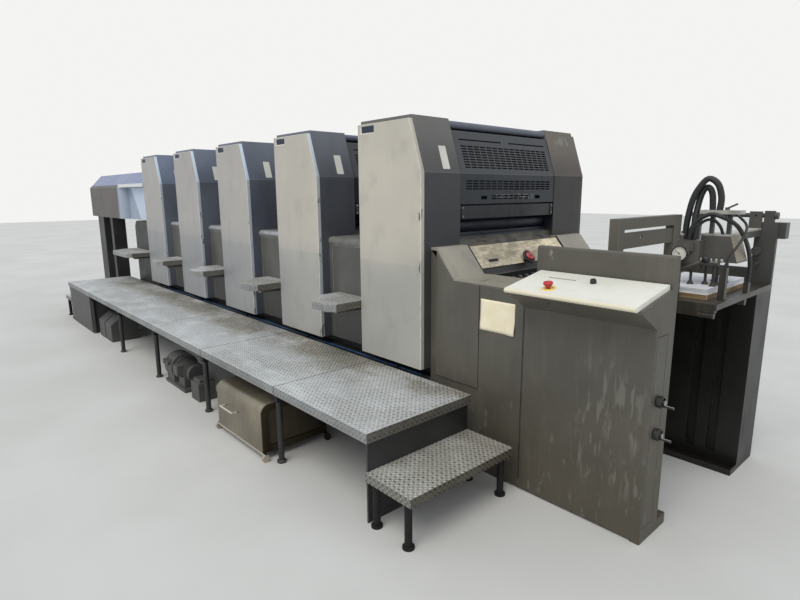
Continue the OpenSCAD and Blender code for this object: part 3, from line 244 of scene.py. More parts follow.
def dress(names, paint, edge=0.002, rounds=2):
    """Gives CAD nodes their paint, and softens their edges with a small bevel in the second paint, light as rubbed
    wear and as a painted highlight.
    """
    for name in names:
        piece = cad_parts[name]
        piece.data.materials.clear()
        for material in paint:
            piece.data.materials.append(material)
        weld = piece.modifiers.new("weld", "WELD")
        weld.merge_threshold = 0.00005
        flat = piece.modifiers.new("flat", "DECIMATE")
        flat.decimate_type = "DISSOLVE"
        flat.angle_limit = math.radians(1)
        soft = piece.modifiers.new("soft", "BEVEL")
        soft.width = edge
        soft.segments = rounds
        soft.limit_method = "ANGLE"
        soft.angle_limit = math.radians(32)
        soft.material = 1 if len(paint) > 1 else -1
        even = piece.modifiers.new("even", "WEIGHTED_NORMAL")
        even.keep_sharp = True
        for face in piece.data.polygons:
            face.use_smooth = True


def numbered(name, count):
    return ["%s_%d" % (name, k) for k in range(1, count + 1)]


bed_paint = worn_paint("bed_paint", (0.030, 0.030, 0.030), (0.09, 0.08, 0.065), (0.07, 0.065, 0.06), gloss=0.55)
dress(["base_frame"], bed_paint)

# The transfer housings between the towers, on which the footsteps hang: brown-grey sheet steel
# boxes with a separate bright-worn lid, a seam down the front and two pressed louvres.
lid_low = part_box("transfer_housing_1")[1].z - 0.055
lid_front_y = (-0.60, -0.57)
past_second = (0.9, 1.1)


def lid_tone(tree, shown, x, y, z):
    """The lid is rubbed lighter than the panel below it, and its front edge shines further away."""
    glint = band(z, lid_low + 0.03, lid_low + 0.054, 0.006) * fall(y, *lid_front_y)
    glint = glint * fall(x, *past_second)
    shown = mix(glint * 0.6, shown, (0.62, 0.66, 0.72))
    rubbed = ramp(cloud(tree, 0.08, 4), 0.3, 0.7, 0.2, 0.75)
    return mix(ramp(z, lid_low, lid_low + 0.006) * rubbed, shown, (0.24, 0.235, 0.215))


housing_paint = worn_paint(
    "housing_paint", (0.098, 0.095, 0.088), (0.19, 0.18, 0.155), (0.28, 0.27, 0.24),
    gloss=0.46, streaks=0.5, clouds=0.14, specks=0.5, tone=lid_tone)
dress(numbered("transfer_housing", 4), housing_paint, 0.003)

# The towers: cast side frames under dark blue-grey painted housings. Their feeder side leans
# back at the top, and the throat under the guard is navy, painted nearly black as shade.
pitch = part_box("unit_body_1")[1].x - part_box("unit_body_2")[1].x
face_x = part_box("unit_body_3")[1].x
tower_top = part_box("unit_body_3")[1].z
fold_z = 1.485
slope_run = 0.095
guard_y0, guard_y1 = -0.470, 0.424
sill_z = 1.135
flap_low, flap_top = 1.236, 1.32
throat_top = 1.70
# X over which the first tower's warm light gives way to the far towers' cool light
past_first = (0.9, 1.5)
last_units = (-1.9, 0.7)
drive_side = (0.40, 0.44)
smear_y, smear_z = (0.52, 0.68), (1.63, 1.73)


def beside(x):
    """X from the middle of the tower that a point belongs to."""
    return x.maths("MODULO", x + 5.5 * pitch, pitch) - pitch / 2


def tower_tone(tree, shown, x, y, z):
    """Painted shade darkens the upright faces, the drive side and the throat's inside; painted light makes the far
    towers, the first slope's top and the nose paler. The throat is navy and its ledge is worn brown.
    """
    near = beside(x)
    between = band(y, guard_y0, guard_y1, 0.0015)
    upright = fall(z, fold_z - 0.004, fold_z + 0.004)
    slope = 1 - upright
    far = fall(x, *past_first)
    last = fall(x, *last_units)
    # Painted shade: the upright faces below the fold are darker than the slope.
    shown = stain(upright, shown, (0.42, 0.415, 0.405))
    # Painted light: the far towers' slopes and uprights are lighter and cooler than the first tower's.
    shown = stain(far * slope, shown, (1.25, 1.34, 1.52))
    shown = stain(far * upright, shown, (2.0, 2.12, 2.5))
    shown = stain(last * slope, shown, (1.35, 1.45, 1.60))
    shown = stain(last * upright, shown, (1.40, 1.42, 1.38))
    # Painted light: the first tower's slope grows lighter and warmer towards its top.
    up_slope = mix(ramp(z, 1.50, 1.70), (0.90, 0.83, 0.78), (1.32, 1.22, 1.08))
    shown = stain((1 - far) * slope, shown, up_slope)
    # Painted shade: the drive side is darker and warmer, its upright faces most of all.
    drive = ramp(y, *drive_side)
    shown = stain(drive, shown, (1.0, 0.88, 0.74))
    shown = stain(drive * upright, shown, (0.62, 0.62, 0.62))
    smear = ramp(cloud(tree, 0.05, 5, (1, 1, 1.6), (2, 7, 1)), 0.5, 0.62)
    smear = smear * band(y, *smear_y, 0.03) * band(z, *smear_z, 0.02)
    shown = mix(smear * 0.5, shown, (0.30, 0.29, 0.26))
    crease = band(z, fold_z - 0.002, fold_z + 0.002, 0.0015) * (0.35 * ramp(near, 0.2, 0.22))
    shown = mix(crease, shown, (0.26, 0.26, 0.26))
    # Painted light: the upward-facing nose over the throat is paler.
    nose = between * ramp(z, throat_top, throat_top + 0.01) * ramp(near, -0.02, 0.02)
    shown = mix(nose, shown, (0.135, 0.145, 0.185))
    flap = between * band(z, flap_low - 0.004, flap_top, 0.001) * ramp(near, 0.20, 0.205)
    shown = mix(flap, shown, (0.020, 0.021, 0.025))
    # Painted shade: the throat's inside behind the face is near-black over its navy paint.
    inside = between * band(z, flap_low, throat_top, 0.002) * fall(near, face_x - 0.045, face_x - 0.035)
    shown = mix(inside, shown, (0.008, 0.011, 0.018))
    deep = between * band(z, sill_z + 0.002, throat_top, 0.002)
    deep = deep * fall(near, face_x - 0.012, face_x - 0.006) * fall(z, flap_low - 0.002, flap_low + 0.002)
    shown = mix(deep, shown, (0.0085, 0.0125, 0.024))
    ledge = between * band(z, sill_z - 0.05, sill_z + 0.003, 0.002)
    rub = ramp(cloud(tree, 0.04, 5, (1, 2.5, 1)), 0.3, 0.7)
    return mix(ledge, shown, mix(rub, (0.030, 0.028, 0.025), (0.115, 0.10, 0.075)))


tower_paint = worn_paint(
    "tower_paint", (0.118, 0.121, 0.130), (0.20, 0.19, 0.17), (0.20, 0.20, 0.19),
    gloss=0.42, streaks=0.25, clouds=0.12, tone=tower_tone)
dress(numbered("unit_body", 5) + ["drive_covers"], tower_paint, 0.0025)

# The bare identification plates: blank white enamel on thin sheet, stuck to the operator side
# of every slope.
slope_angle = math.atan2(slope_run, tower_top - fold_z)
tag_y, tag_z = -0.573, 1.562


def choose(piece, test):
    """In edit mode, selects the faces whose middle and normal pass the test."""
    mesh = bmesh.from_edit_mesh(piece.data)
    for part in mesh.faces:
        part.select_set(bool(test(part.calc_center_median(), part.normal)))
    mesh.select_flush(True)
    bmesh.update_edit_mesh(piece.data)


def choose_top(piece):
    choose(piece, lambda middle, normal: normal.z > 0.9)


def step_in(width, rise):
    """Insets the chosen faces by width and lifts them by rise."""
    bpy.ops.mesh.inset(thickness=width)
    bpy.ops.transform.translate(value=(0, 0, rise))


def pull(*shift):
    """Extrudes the chosen faces by a shift in X, Y and Z."""
    bpy.ops.mesh.extrude_region_move(TRANSFORM_OT_translate={"value": shift})


def settle(name, place, body, slot, *paint):
    """Lays the piece just modelled in its place, in its mesh, and fixes it to the press."""
    piece = bpy.context.object
    if piece.mode == "EDIT":
        bpy.ops.object.mode_set(mode="OBJECT")
    piece.name = name
    piece.data.transform(place)
    piece.data.materials.clear()
    for material in paint:
        piece.data.materials.append(material)
    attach(piece, body)
    return piece


def again(piece, name, shift, body):
    """A copy of a finished piece with its own mesh, moved by a shift in X, Y and Z."""
    copied = piece.copy()
    copied.data = piece.data.copy()
    copied.name = name
    bpy.context.scene.collection.objects.link(copied)
    copied.data.transform(Matrix.Translation(shift))
    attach(copied, body)
    return copied


def thin_plate(length, width, thick, corner):
    """Models a thin plate on the XY plane, with rounded corners and a softened face."""
    bpy.ops.object.select_all(action="DESELECT")
    bpy.ops.mesh.primitive_cube_add(size=1, location=(0, 0, thick / 2), scale=(length, width, thick))
    bpy.ops.object.transform_apply(location=True, rotation=True, scale=True)
    piece = bpy.context.object
    bpy.ops.object.mode_set(mode="EDIT")
    bpy.ops.mesh.select_mode(type="EDGE")
    mesh = bmesh.from_edit_mesh(piece.data)
    for edge in mesh.edges:
        edge.select_set(abs(edge.verts[0].co.z - edge.verts[1].co.z) > thick / 2)
    bmesh.update_edit_mesh(piece.data)
    bpy.ops.mesh.bevel(offset=corner, segments=4)
    bpy.ops.mesh.select_mode(type="FACE")
    choose_top(piece)
    step_in(thick * 0.3, thick * 0.25)
    return piece


def on_tower(unit, y, z):
    """Place on the leaning face of a tower, with Z square to the face and X down the slope."""
    x = (3 - unit) * pitch + face_x - math.tan(slope_angle) * (z - fold_z)
    return Matrix.Translation((x, y, z)) @ Matrix.Rotation(math.pi / 2 - slope_angle, 4, "Y")


white_enamel = worn_paint(
    "white_enamel", (0.74, 0.72, 0.64), (0.5, 0.46, 0.38), (0.8, 0.8, 0.78), gloss=0.4, streaks=0.3, clouds=0.08)
thin_plate(0.125, 0.052, 0.0012, 0.004)
tag = settle("tag_1", on_tower(1, tag_y, tag_z), "press", "light_cover", white_enamel[0])
for unit in range(2, 6):
    again(tag, "tag_%d" % unit, ((1 - unit) * pitch, 0, 0), "press")

# The flap bars' end brackets: small grey slotted plates with two bright screws each, where the
# flap bar turns in the side housings.
bracket_x = 2 * pitch + face_x
bracket_in = 0.024
bracket_z = 1.276
screw_z = 1.30
screw_apart = 0.046
outward = Matrix.Rotation(math.pi / 2, 4, "Y")


def disc(vertices, radius, height):
    """Starts a disc that stands on the XY plane, in edit mode for its faces."""
    bpy.ops.object.select_all(action="DESELECT")
    bpy.ops.mesh.primitive_cylinder_add(
        vertices=vertices, radius=radius, depth=height, location=(0, 0, height / 2))
    bpy.ops.object.transform_apply(location=True, rotation=True, scale=True)
    bpy.ops.object.mode_set(mode="EDIT")
    bpy.ops.mesh.select_mode(type="FACE")
    return bpy.context.object


def cap_screw(radius, height):
    """Models a button-head screw with a socket in its top, standing on the XY plane."""
    choose_top(disc(20, radius, height))
    step_in(radius * 0.22, height * 0.35)
    bpy.ops.mesh.inset(thickness=radius * 0.3)
    pull(0, 0, -height * 0.6)


bright_steel = worn_paint(
    "bright_steel", (0.42, 0.41, 0.39), (0.2, 0.18, 0.15), (0.6, 0.6, 0.58),
    gloss=0.3, streaks=0.3, clouds=0.3, metal=0.8)
grey_steel = worn_paint(
    "grey_steel", (0.07, 0.072, 0.078), (0.2, 0.19, 0.17), (0.34, 0.34, 0.34), gloss=0.36, streaks=0.3, clouds=0.3)
bracket = thin_plate(0.064, 0.016, 0.003, 0.006)
choose_top(bracket)
bpy.ops.mesh.inset(thickness=0.004)
pull(0, 0, -0.0018)
settle("flap_bracket_1", Matrix.Translation((bracket_x - 0.0035, guard_y0 + bracket_in, bracket_z)) @ outward,
       "press", "bright_metal", grey_steel[0])
cap_screw(0.0055, 0.004)
screw = settle("flap_screw_1", Matrix.Translation((bracket_x - 0.003, guard_y0 + bracket_in, screw_z)) @ outward,
               "press", "bright_metal", bright_steel[0])
for unit in range(1, 6):
    for side, shift in enumerate((0, guard_y1 - guard_y0 - 2 * bracket_in)):
        if unit > 1 or side:
            again(bracket, "flap_bracket_%d%d" % (unit, side), ((1 - unit) * pitch, shift, 0),
                  "press")
        for row in range(2):
            if unit > 1 or side or row:
                again(screw, "flap_screw_%d%d%d" % (unit, side, row),
                      ((1 - unit) * pitch, shift, -screw_apart * row), "press")

# The light side covers: large doors of warm grey painted steel on the operator side, cooler and
# darker below a faint line, with a bright outer edge, rubbed and painted as a highlight, and a small dark window.
cover_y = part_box("side_cover_1")[0].y
door_line = 1.01
window_x = (-0.2235, -0.1115)
window_z = (1.701, 1.741)


def cover_tone(tree, shown, x, y, z):
    """Darker in steps towards the floor and, as painted shade, towards the far end, with a painted reflection on
    the far front edges, and chips.
    """
    near = beside(x)
    # Painted reflection: the far covers' faces towards +X are pale blue above the fold and grey below.
    front = ramp(facing(tree)[0], 0.35, 0.7) * fall(x, *past_first)
    shown = stain(fall(z, door_line - 0.16, door_line + 0.2), shown, (0.81, 0.84, 0.88))
    shown = stain(fall(z, door_line - 0.004, door_line + 0.004), shown, (0.90, 0.915, 0.94))
    # Painted shade: the far covers are darker and bluer.
    shown = stain(fall(x, -0.6, 1.7), shown, (0.735, 0.755, 0.85))
    edge = mix(ramp(z, fold_z - 0.01, fold_z + 0.01), (0.50, 0.54, 0.60), (0.72, 0.86, 1.0))
    shown = mix(front, shown, edge)
    smudge = ramp(cloud(tree, 0.12, 5, (1, 1, 1.8), (2, 0, 4)), 0.6, 0.75)
    shown = mix(smudge * 0.22, shown, (0.34, 0.33, 0.30))
    chips = band(near, face_x - 0.016, face_x + 0.01, 0.002)
    chips = chips * ramp(cloud(tree, 0.035, 4, (1, 1, 2.5), (6, 1, 1)), 0.60, 0.66)
    shown = mix(chips * (0.85 * fall(z, 1.45, 1.5)), shown, (0.05, 0.05, 0.05))
    window = band(near, *window_x, 0.001) * band(z, *window_z, 0.001) * ramp(y, cover_y + 0.002, cover_y + 0.004)
    return mix(window * fall(y, 0, 0.1), shown, (0.018, 0.024, 0.045))


# Its light edge colour is rubbed wear and a painted highlight on the bevels.
cover_paint = worn_paint(
    "cover_paint", (0.575, 0.53, 0.448), (0.60, 0.57, 0.50), (0.80, 0.78, 0.73),
    gloss=0.42, streaks=0.22, clouds=0.05, tone=cover_tone)
dress(numbered("side_cover", 5), cover_paint, 0.003)

# The louvred guards: folded sheet-steel pans on trunnions, dark blue-grey, with rows of
# pressed vents. The slotted strip by the lower edge is rubbed bare by hands.
vents_z = (1.35, 1.675)
strip_y, strip_z = (-0.16, 0.20), (1.345, 1.372)


def guard_tone(tree, shown, x, y, z):
    """Painted shade below the fold and inside the vents, a paler line along the fold, and a rubbed strip."""
    # Painted shade: the upright part below the fold is darker.
    shown = stain(fall(z, fold_z - 0.006, fold_z + 0.002), shown, (0.42, 0.48, 0.53))
    # Painted shade: the walls inside the vent slots are darkened.
    vent = fall(facing(tree)[0], 0.55, 0.8)
    vent = vent * band(y, guard_y0 + 0.03, guard_y1 - 0.03, 0.002) * band(z, *vents_z, 0.002)
    shown = stain(vent, shown, (0.10, 0.10, 0.12))
    shown = mix(band(z, fold_z - 0.003, fold_z + 0.002, 0.0015) * 0.4, shown, (0.20, 0.20, 0.20))
    held = band(z, *strip_z, 0.004) * band(y, *strip_y, 0.02) * ramp(cloud(tree, 0.02, 4), 0.45, 0.6)
    return mix(held * 0.6, shown, (0.26, 0.26, 0.26))


guard_paint = worn_paint(
    "guard_paint", (0.056, 0.058, 0.062), (0.13, 0.13, 0.13), (0.085, 0.087, 0.092),
    gloss=0.40, streaks=0.2, clouds=0.12, tone=guard_tone)
dress(numbered("guard", 5), guard_paint, 0.0006, 1)

# The infeed: its side panels stand in the brown-grey paint of the housings, its sloping cheeks
# are worn light grey, and its centre plate is rubbed down to mottled metal.
panel_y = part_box("infeed_housing")[0].y
runs_x, runs_z = (2.98, 3.26), (0.20, 0.72)
chip_x, chip_z = (2.745, 2.765), (1.090, 1.130)
grip_x, grip_y = (2.203, 2.235), (-0.364, -0.266)
well_x, well_y, well_z = (2.279, 2.544), (guard_y0 + 0.018, guard_y1 - 0.018), (0.80, 0.9492)
well_edge_x = (2.243, 2.2816)
seam_x, seam_z = (2.6995, 2.7085), (0.05, 0.93)
side_gap_x, top_gap_x = (2.1475, 2.30), (2.140, 2.1555)
oily_y = (-0.30, 0.05)


def console_tone(tree, shown, x, y, z):
    """Splashed near the floor, with runs and a chip; painted shade makes the grooves, well and panel seam black,
    and the grip is painted black too.
    """
    shown = stain(fall(z, 0.1, 0.75), shown, (0.79, 0.74, 0.67))
    splash = ramp(cloud(tree, 0.03, 4, (1, 1, 3), (5, 2, 1)), 0.6, 0.72) * fall(z, 0.25, 0.6)
    shown = mix(splash * 0.4, shown, (0.24, 0.225, 0.19))
    runs = ramp(cloud(tree, 0.022, 3, (1, 1, 5), (9, 2, 4)), 0.52, 0.66)
    runs = runs * band(x, *runs_x, 0.05) * band(z, *runs_z, 0.09)
    shown = mix(runs * 0.42, shown, (0.25, 0.235, 0.20))
    chip = ramp(cloud(tree, 0.02, 4, (1, 1, 1.6), (1, 1, 9)), 0.45, 0.55)
    chip = chip * band(x, *chip_x, 0.006) * band(z, *chip_z, 0.01)
    shown = mix(chip * 0.5, shown, (0.42, 0.37, 0.31))
    # Painted shade: the grooves beside the centre plate are black where the gap lies in shadow; the grip is
    # painted black too.
    groove = band(y, guard_y0 + 0.019, guard_y0 + 0.025, 0.0005)
    groove = groove + band(y, guard_y1 - 0.025, guard_y1 - 0.019, 0.0005)
    grip = band(x, *grip_x, 0.001) * band(y, *grip_y, 0.001)
    shown = mix((groove + grip) * ramp(z, 0.93, 0.935), shown, (0.010, 0.010, 0.010))
    # Painted shade: the well and the panel seam are painted near-black where they lie in shadow.
    across = band(y, *well_y, 0.001)
    well = band(x, *well_x, 0.001) * across * band(z, *well_z, 0.0005)
    well = well + band(x, *well_edge_x, 0.001) * (across * ramp(z, 0.945, 0.946))
    front = band(y, panel_y - 0.001, panel_y + 0.02, 0.0004)
    seam = band(x, *seam_x, 0.0005) * (front * band(z, *seam_z, 0.001))
    return mix(well + seam, shown, (0.014, 0.013, 0.012))


console_paint = worn_paint(
    "console_paint", (0.102, 0.094, 0.076), (0.19, 0.175, 0.14), (0.125, 0.115, 0.095),
    gloss=0.48, streaks=0.55, clouds=0.10, specks=0.55, tone=console_tone)
dress(["infeed_housing", "feeder_console"], console_paint, 0.003)


def cheek_tone(tree, shown, x, y, z):
    """The centre plate is mottled, the gaps round it are painted black as shade, and all of it has a little rust.
    """
    middle = band(y, guard_y0 + 0.022, guard_y1 - 0.022, 0.001)
    grain = ramp(cloud(tree, 0.075, 6, (1, 2.6, 1), (3, 1, 0), 0.70), 0.32, 0.66)
    grain = mix(grain, (0.34, 0.29, 0.20), (0.98, 0.84, 0.60))
    scuff = ramp(cloud(tree, 0.007, 4, (1, 5, 1), (8, 3, 0), 0.6), 0.46, 0.72)
    grain = mix(scuff * 0.55, grain, (0.15, 0.13, 0.095))
    grain = mix(ramp(y, *oily_y, 0.30, 0), grain, (0.17, 0.16, 0.14))
    shown = mix(middle, shown, grain)
    # Painted shade: the gaps beside and across the centre plate are black, widened on to the cheeks.
    gap_shade = band(y, guard_y0 + 0.009, guard_y0 + 0.026, 0.001)
    gap_shade = gap_shade + band(y, guard_y1 - 0.026, guard_y1 - 0.015, 0.001)
    gap_shade = gap_shade * band(x, *side_gap_x, 0.001) + middle * band(x, *top_gap_x, 0.001)
    shown = mix(gap_shade, shown, (0.012, 0.012, 0.012))
    rust = ramp(cloud(tree, 0.035, 5, shift=(2, 9, 1)), 0.6, 0.72)
    return mix(rust * 0.4, shown, (0.21, 0.16, 0.10))


cheek_metal = worn_paint(
    "cheek_metal", (0.33, 0.305, 0.25), (0.46, 0.43, 0.35), (0.66, 0.63, 0.55),
    gloss=0.42, streaks=0.4, clouds=0.14, specks=0.4, tone=cheek_tone)
dress(["infeed_cover"], cheek_metal, 0.0025)
# Its rubbed edges are pale on the black steel: wear and painted highlights.
oiled_steel = worn_paint(
    "oiled_steel", (0.022, 0.021, 0.020), (0.16, 0.15, 0.13), (0.52, 0.50, 0.46),
    gloss=0.26, streaks=0.6, clouds=0.5, specks=0.8)
dress(["infeed_mechanism"], oiled_steel, 0.0012)

# The note: a sheet of cream paper taped to the infeed's panel by its upper edge, so that its
# lower corners stand off a little.
cream = mottled("cream_paper", 0.05, 4, (0.93, 0.81, 0.57), (0.97, 0.88, 0.66), 0.8)
note_len, note_h = 0.200, 0.150
note_x, note_z = 2.555, 0.811
bpy.ops.object.select_all(action="DESELECT")
bpy.ops.mesh.primitive_grid_add(x_subdivisions=16, y_subdivisions=12, size=1)
note = bpy.context.object
bpy.ops.transform.resize(value=(note_len, note_h, 1))
bpy.ops.object.transform_apply(location=True, rotation=True, scale=True)
bpy.ops.object.mode_set(mode="EDIT")
bpy.ops.mesh.select_mode(type="FACE")
for corner, lift in ((-1, 0.004), (1, 0.007)):
    choose(note, lambda middle, normal: middle.x * corner > 0.092 and middle.y < -0.066)
    bpy.ops.transform.translate(value=(0, 0, lift), use_proportional_edit=True,
                                proportional_edit_falloff="SMOOTH", proportional_size=0.06)
bpy.ops.object.mode_set(mode="OBJECT")
leaf = note.modifiers.new("leaf", "SOLIDIFY")
leaf.thickness = 0.0003
bpy.ops.object.modifier_apply(modifier="leaf")
bpy.ops.object.shade_smooth()
toward = Matrix.Rotation(math.pi / 2, 4, "X")
settle("note", Matrix.Translation((note_x, panel_y - 0.0010, note_z)) @ toward, "press", "paper", cream)

# The console's desk: a cream laminate board with a rolled front edge, fixed at a slant, and
# pencilled over where sheets are laid.
desk_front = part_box("desk_plate")[0].y
desk_angle = math.radians(10.5948)
desk_edge = Vector((0, -0.858, 0.967))
desk_t = 0.020
slot_x, slot_y = (2.80, 2.93), (-0.670, -0.663)


def desk_tone(tree, shown, x, y, z):
    """Yellowed at the front edge, pencilled in places, with a dark stop groove."""
    shown = mix(fall(y, desk_front + 0.004, desk_front + 0.016) * 0.7, shown, (0.80, 0.72, 0.50))
    pencil = fall(abs(cloud(tree, 0.06, 5, (1, 0.3, 1), (1, 4, 2)) - 0.5), 0.0, 0.006)
    used = ramp(cloud(tree, 0.2, 2, shift=(4, 4, 4)), 0.5, 0.62)
    shown = mix(pencil * (0.22 * used), shown, (0.35, 0.34, 0.32))
    slot = band(x, *slot_x, 0.003) * band(y, *slot_y, 0.001)
    return mix(slot * 0.9, shown, (0.09, 0.09, 0.085))


desk_board = worn_paint(
    "desk_board", (0.86, 0.84, 0.75), (0.70, 0.67, 0.57), (0.86, 0.82, 0.66),
    gloss=0.34, streaks=0.25, clouds=0.03, tone=desk_tone)
dress(["desk_plate"], desk_board, 0.003)


def on_desk(x, y):
    """Place on the desk's top, with Z square to the board."""
    up = Vector((0, -math.sin(desk_angle), math.cos(desk_angle)))
    along = Vector((0, math.cos(desk_angle), math.sin(desk_angle)))
    top = desk_edge + up * desk_t
    foot = top + along * ((y - top.y) / along.y) + Vector((x, 0, 0))
    return Matrix.Translation(foot) @ Matrix.Rotation(desk_angle, 4, "X")


# The stop button's yellow plate and the small black knob: moulded plastic, screwed to the desk.
# The plate is a ring that lies round the button's collar.
button_low, button_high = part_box("stop_button")
button_x = (button_low.x + button_high.x) / 2
button_y = (button_low.y + button_high.y) / 2
# From the desk up to the middle of the button
button_rise = 0.046
desk_knob_x, desk_knob_y = 3.010, -0.672
yellow = mottled("yellow_plastic", 0.02, 3, (0.84, 0.64, 0.08), (0.88, 0.70, 0.14), 0.4)
black_plastic = mottled("black_plastic", 0.01, 3, (0.012, 0.012, 0.013), (0.022, 0.022, 0.022), 0.42)


def face_outwards():
    bpy.ops.mesh.select_all(action="SELECT")
    bpy.ops.mesh.normals_make_consistent(inside=False)


def washer(outer, inner, height):
    """Models a flat ring on the XY plane with a softened upper rim."""
    bpy.ops.object.select_all(action="DESELECT")
    bpy.ops.mesh.primitive_circle_add(vertices=48, radius=inner, fill_type="NOTHING")
    bpy.ops.object.mode_set(mode="EDIT")
    bpy.ops.mesh.select_all(action="SELECT")
    bpy.ops.mesh.extrude_edges_move()
    bpy.ops.transform.resize(value=(outer / inner, outer / inner, 1))
    bpy.ops.mesh.select_all(action="SELECT")
    pull(0, 0, height * 0.7)
    step_in(height * 0.3, height * 0.3)
    face_outwards()


washer(0.028, 0.0153, 0.003)
settle("stop_ring", on_desk(button_x, button_y + button_rise * math.sin(desk_angle)), "press", "desk", yellow)
cap_screw(0.0125, 0.013)
settle("desk_knob", on_desk(desk_knob_x, desk_knob_y), "press", "hose", black_plastic)

# The red knobs: the stop button is moulded gloss plastic, and the setting knob has a red ring
# between its black hub and its black rim.
red_plastic = worn_paint(
    "red_plastic", (0.50, 0.022, 0.030), (0.6, 0.2, 0.2), (0.62, 0.10, 0.10), gloss=0.28, streaks=0.1, clouds=0.05)
dress(["stop_button"], red_plastic, 0.001)
knob_foot = Vector((2.2379, -0.054, 0.990))
knob_up = Vector((0.766, 0, 0.643))
rim_r, hub_r = (0.0275, 0.0285), (0.009, 0.010)


def squared(radii):
    return [radius * radius for radius in radii]


def apart(place, centre):
    """Square of the distance from a centre."""
    parts = [(value - middle) * (value - middle) for value, middle in zip(place, centre)]
    return sum(parts[1:], parts[0])


def knob_tone(tree, shown, x, y, z):
    """Red only in the middle of the ring, on its front."""
    out = (x - knob_foot.x) * knob_up.x + (z - knob_foot.z) * knob_up.z
    off = apart((x, y, z), knob_foot) - out * out
    red = fall(off, *squared(rim_r)) * ramp(off, *squared(hub_r)) * ramp(out, 0.044, 0.046)
    return mix(red, (0.014, 0.014, 0.015), shown)


knob_plastic = worn_paint(
    "knob_plastic", (0.52, 0.035, 0.04), (0.6, 0.2, 0.2), (0.10, 0.09, 0.09),
    gloss=0.28, streaks=0.1, clouds=0.05, tone=knob_tone)
dress(["setting_knob"], knob_plastic, 0.001)

# The handwheels on the console's end: blackened steel on their shafts, with hubs that are
# turned bright.
wheel_y = -0.6449
wheels_z = (0.594, 0.461)
wheel_hub_r, wheel_hub_x = (0.009, 0.0095), (3.30, 3.302)


def wheel_tone(tree, shown, x, y, z):
    """The hub's end is turned bright, the rest is black."""
    upper, lower = (fall(apart((y, z), (wheel_y, middle)), *squared(wheel_hub_r)) for middle in wheels_z)
    return mix((upper + lower) * ramp(x, *wheel_hub_x), shown, (0.40, 0.38, 0.33))


wheel_steel = worn_paint(
    "wheel_steel", (0.022, 0.022, 0.022), (0.12, 0.12, 0.11), (0.20, 0.195, 0.18),
    gloss=0.32, streaks=0.2, clouds=0.1, tone=wheel_tone)
dress(["crank_upper", "crank_lower"], wheel_steel, 0.001)

# The feeder: a dark grey painted frame and portal over a dark steel wall, painted nearly black
# under the pile as shade, and a head with a white top and a bare slanting cheek, all dusted with paper lint.
portal_end_x, portal_foot_z = (2.93, 2.95), (0.93, 0.95)
wall_top_z = (0.86, 0.93)


def frame_tone(tree, shown, x, y, z):
    """The portal is lighter than the frame, and the wall under the pile is painted nearly black as shade."""
    shown = stain(fall(x, *portal_end_x) * ramp(z, *portal_foot_z), shown, (1.62, 1.52, 1.28))
    # Painted shade: everything below the pile plate's height is darkened nearly to black.
    return stain(fall(z, *wall_top_z), shown, (0.16, 0.15, 0.14))


frame_paint = worn_paint(
    "frame_paint", (0.072, 0.070, 0.064), (0.15, 0.14, 0.12), (0.22, 0.21, 0.18),
    gloss=0.42, streaks=0.35, clouds=0.2, tone=frame_tone)
dress(["feeder_frame", "feed_portal"], frame_paint, 0.0018)
head_low_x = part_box("suction_head")[0].x
head_top, bar_top = 1.199, 1.302
foot_z = (1.06, 1.085)
ball_middle = (3.2825, -0.271, 1.106)
ball_r = (0.021, 0.022)


def head_tone(tree, shown, x, y, z):
    """White upper faces, pale brows, a bare slanting cheek, a dark foot and a black ball knob."""
    normal = facing(tree)
    top = band(z, head_top - 0.003, head_top + 0.003, 0.001) + band(z, bar_top - 0.003, bar_top + 0.003, 0.001)
    top = ramp(normal[2], 0.8, 0.9) * top
    shown = mix(top * ramp(cloud(tree, 0.03, 4), 0.3, 0.6, 0.6, 1.0), shown, (0.66, 0.64, 0.58))
    brow = band(z, head_top - 0.0075, head_top + 0.001, 0.0005)
    brow = brow + band(z, bar_top - 0.0165, bar_top + 0.001, 0.0005)
    brow = brow * ramp(cloud(tree, 0.05, 4, shift=(1, 2, 3)), 0.3, 0.6, 0.45, 0.9)
    shown = mix(brow, shown, (0.50, 0.48, 0.43))
    slant = band(normal[0], 0.6, 0.999, 0.01) * band(normal[2], 0.1, 0.6, 0.02)
    slant = slant * band(z, foot_z[1], head_top - 0.004, 0.002)
    shown = mix(slant, shown, (0.27, 0.225, 0.16))
    shown = stain(fall(z, *foot_z), shown, (0.34, 0.33, 0.31))
    ball = fall(apart((x, y, z), ball_middle), *squared(ball_r))
    return mix(ball, shown, (0.013, 0.013, 0.014))


head_paint = worn_paint(
    "head_paint", (0.096, 0.090, 0.077), (0.16, 0.15, 0.13), (0.26, 0.25, 0.22),
    gloss=0.40, streaks=0.3, clouds=0.2, tone=head_tone)
dress(["suction_head"], head_paint, 0.0014)
plate_steel = worn_paint(
    "plate_steel", (0.036, 0.031, 0.025), (0.14, 0.125, 0.10), (0.46, 0.43, 0.38),
    gloss=0.30, streaks=0.5, clouds=0.35)
dress(["pile_plate"], plate_steel, 0.0016)

# The pile: white sheets on a yellow-brown board, held on the plate by their weight, with the
# sheets' edges showing at the sides.
board_top = 0.952


def pile_tone(tree, shown, x, y, z):
    """Sheet edges at the sides, and wood up to the board's top."""
    board = mix(ramp(cloud(tree, 0.02, 4, (6, 6, 1)), 0.3, 0.7), (0.20, 0.125, 0.055), (0.36, 0.25, 0.13))
    leaves = ramp(cloud(tree, 0.0016, 2, (80, 80, 1)), 0.4, 0.6)
    shown = stain((1 - ramp(facing(tree)[2], 0.5, 0.8)) * leaves, shown, (0.72, 0.71, 0.70))
    return mix(fall(z, board_top - 0.001, board_top + 0.001), shown, board)


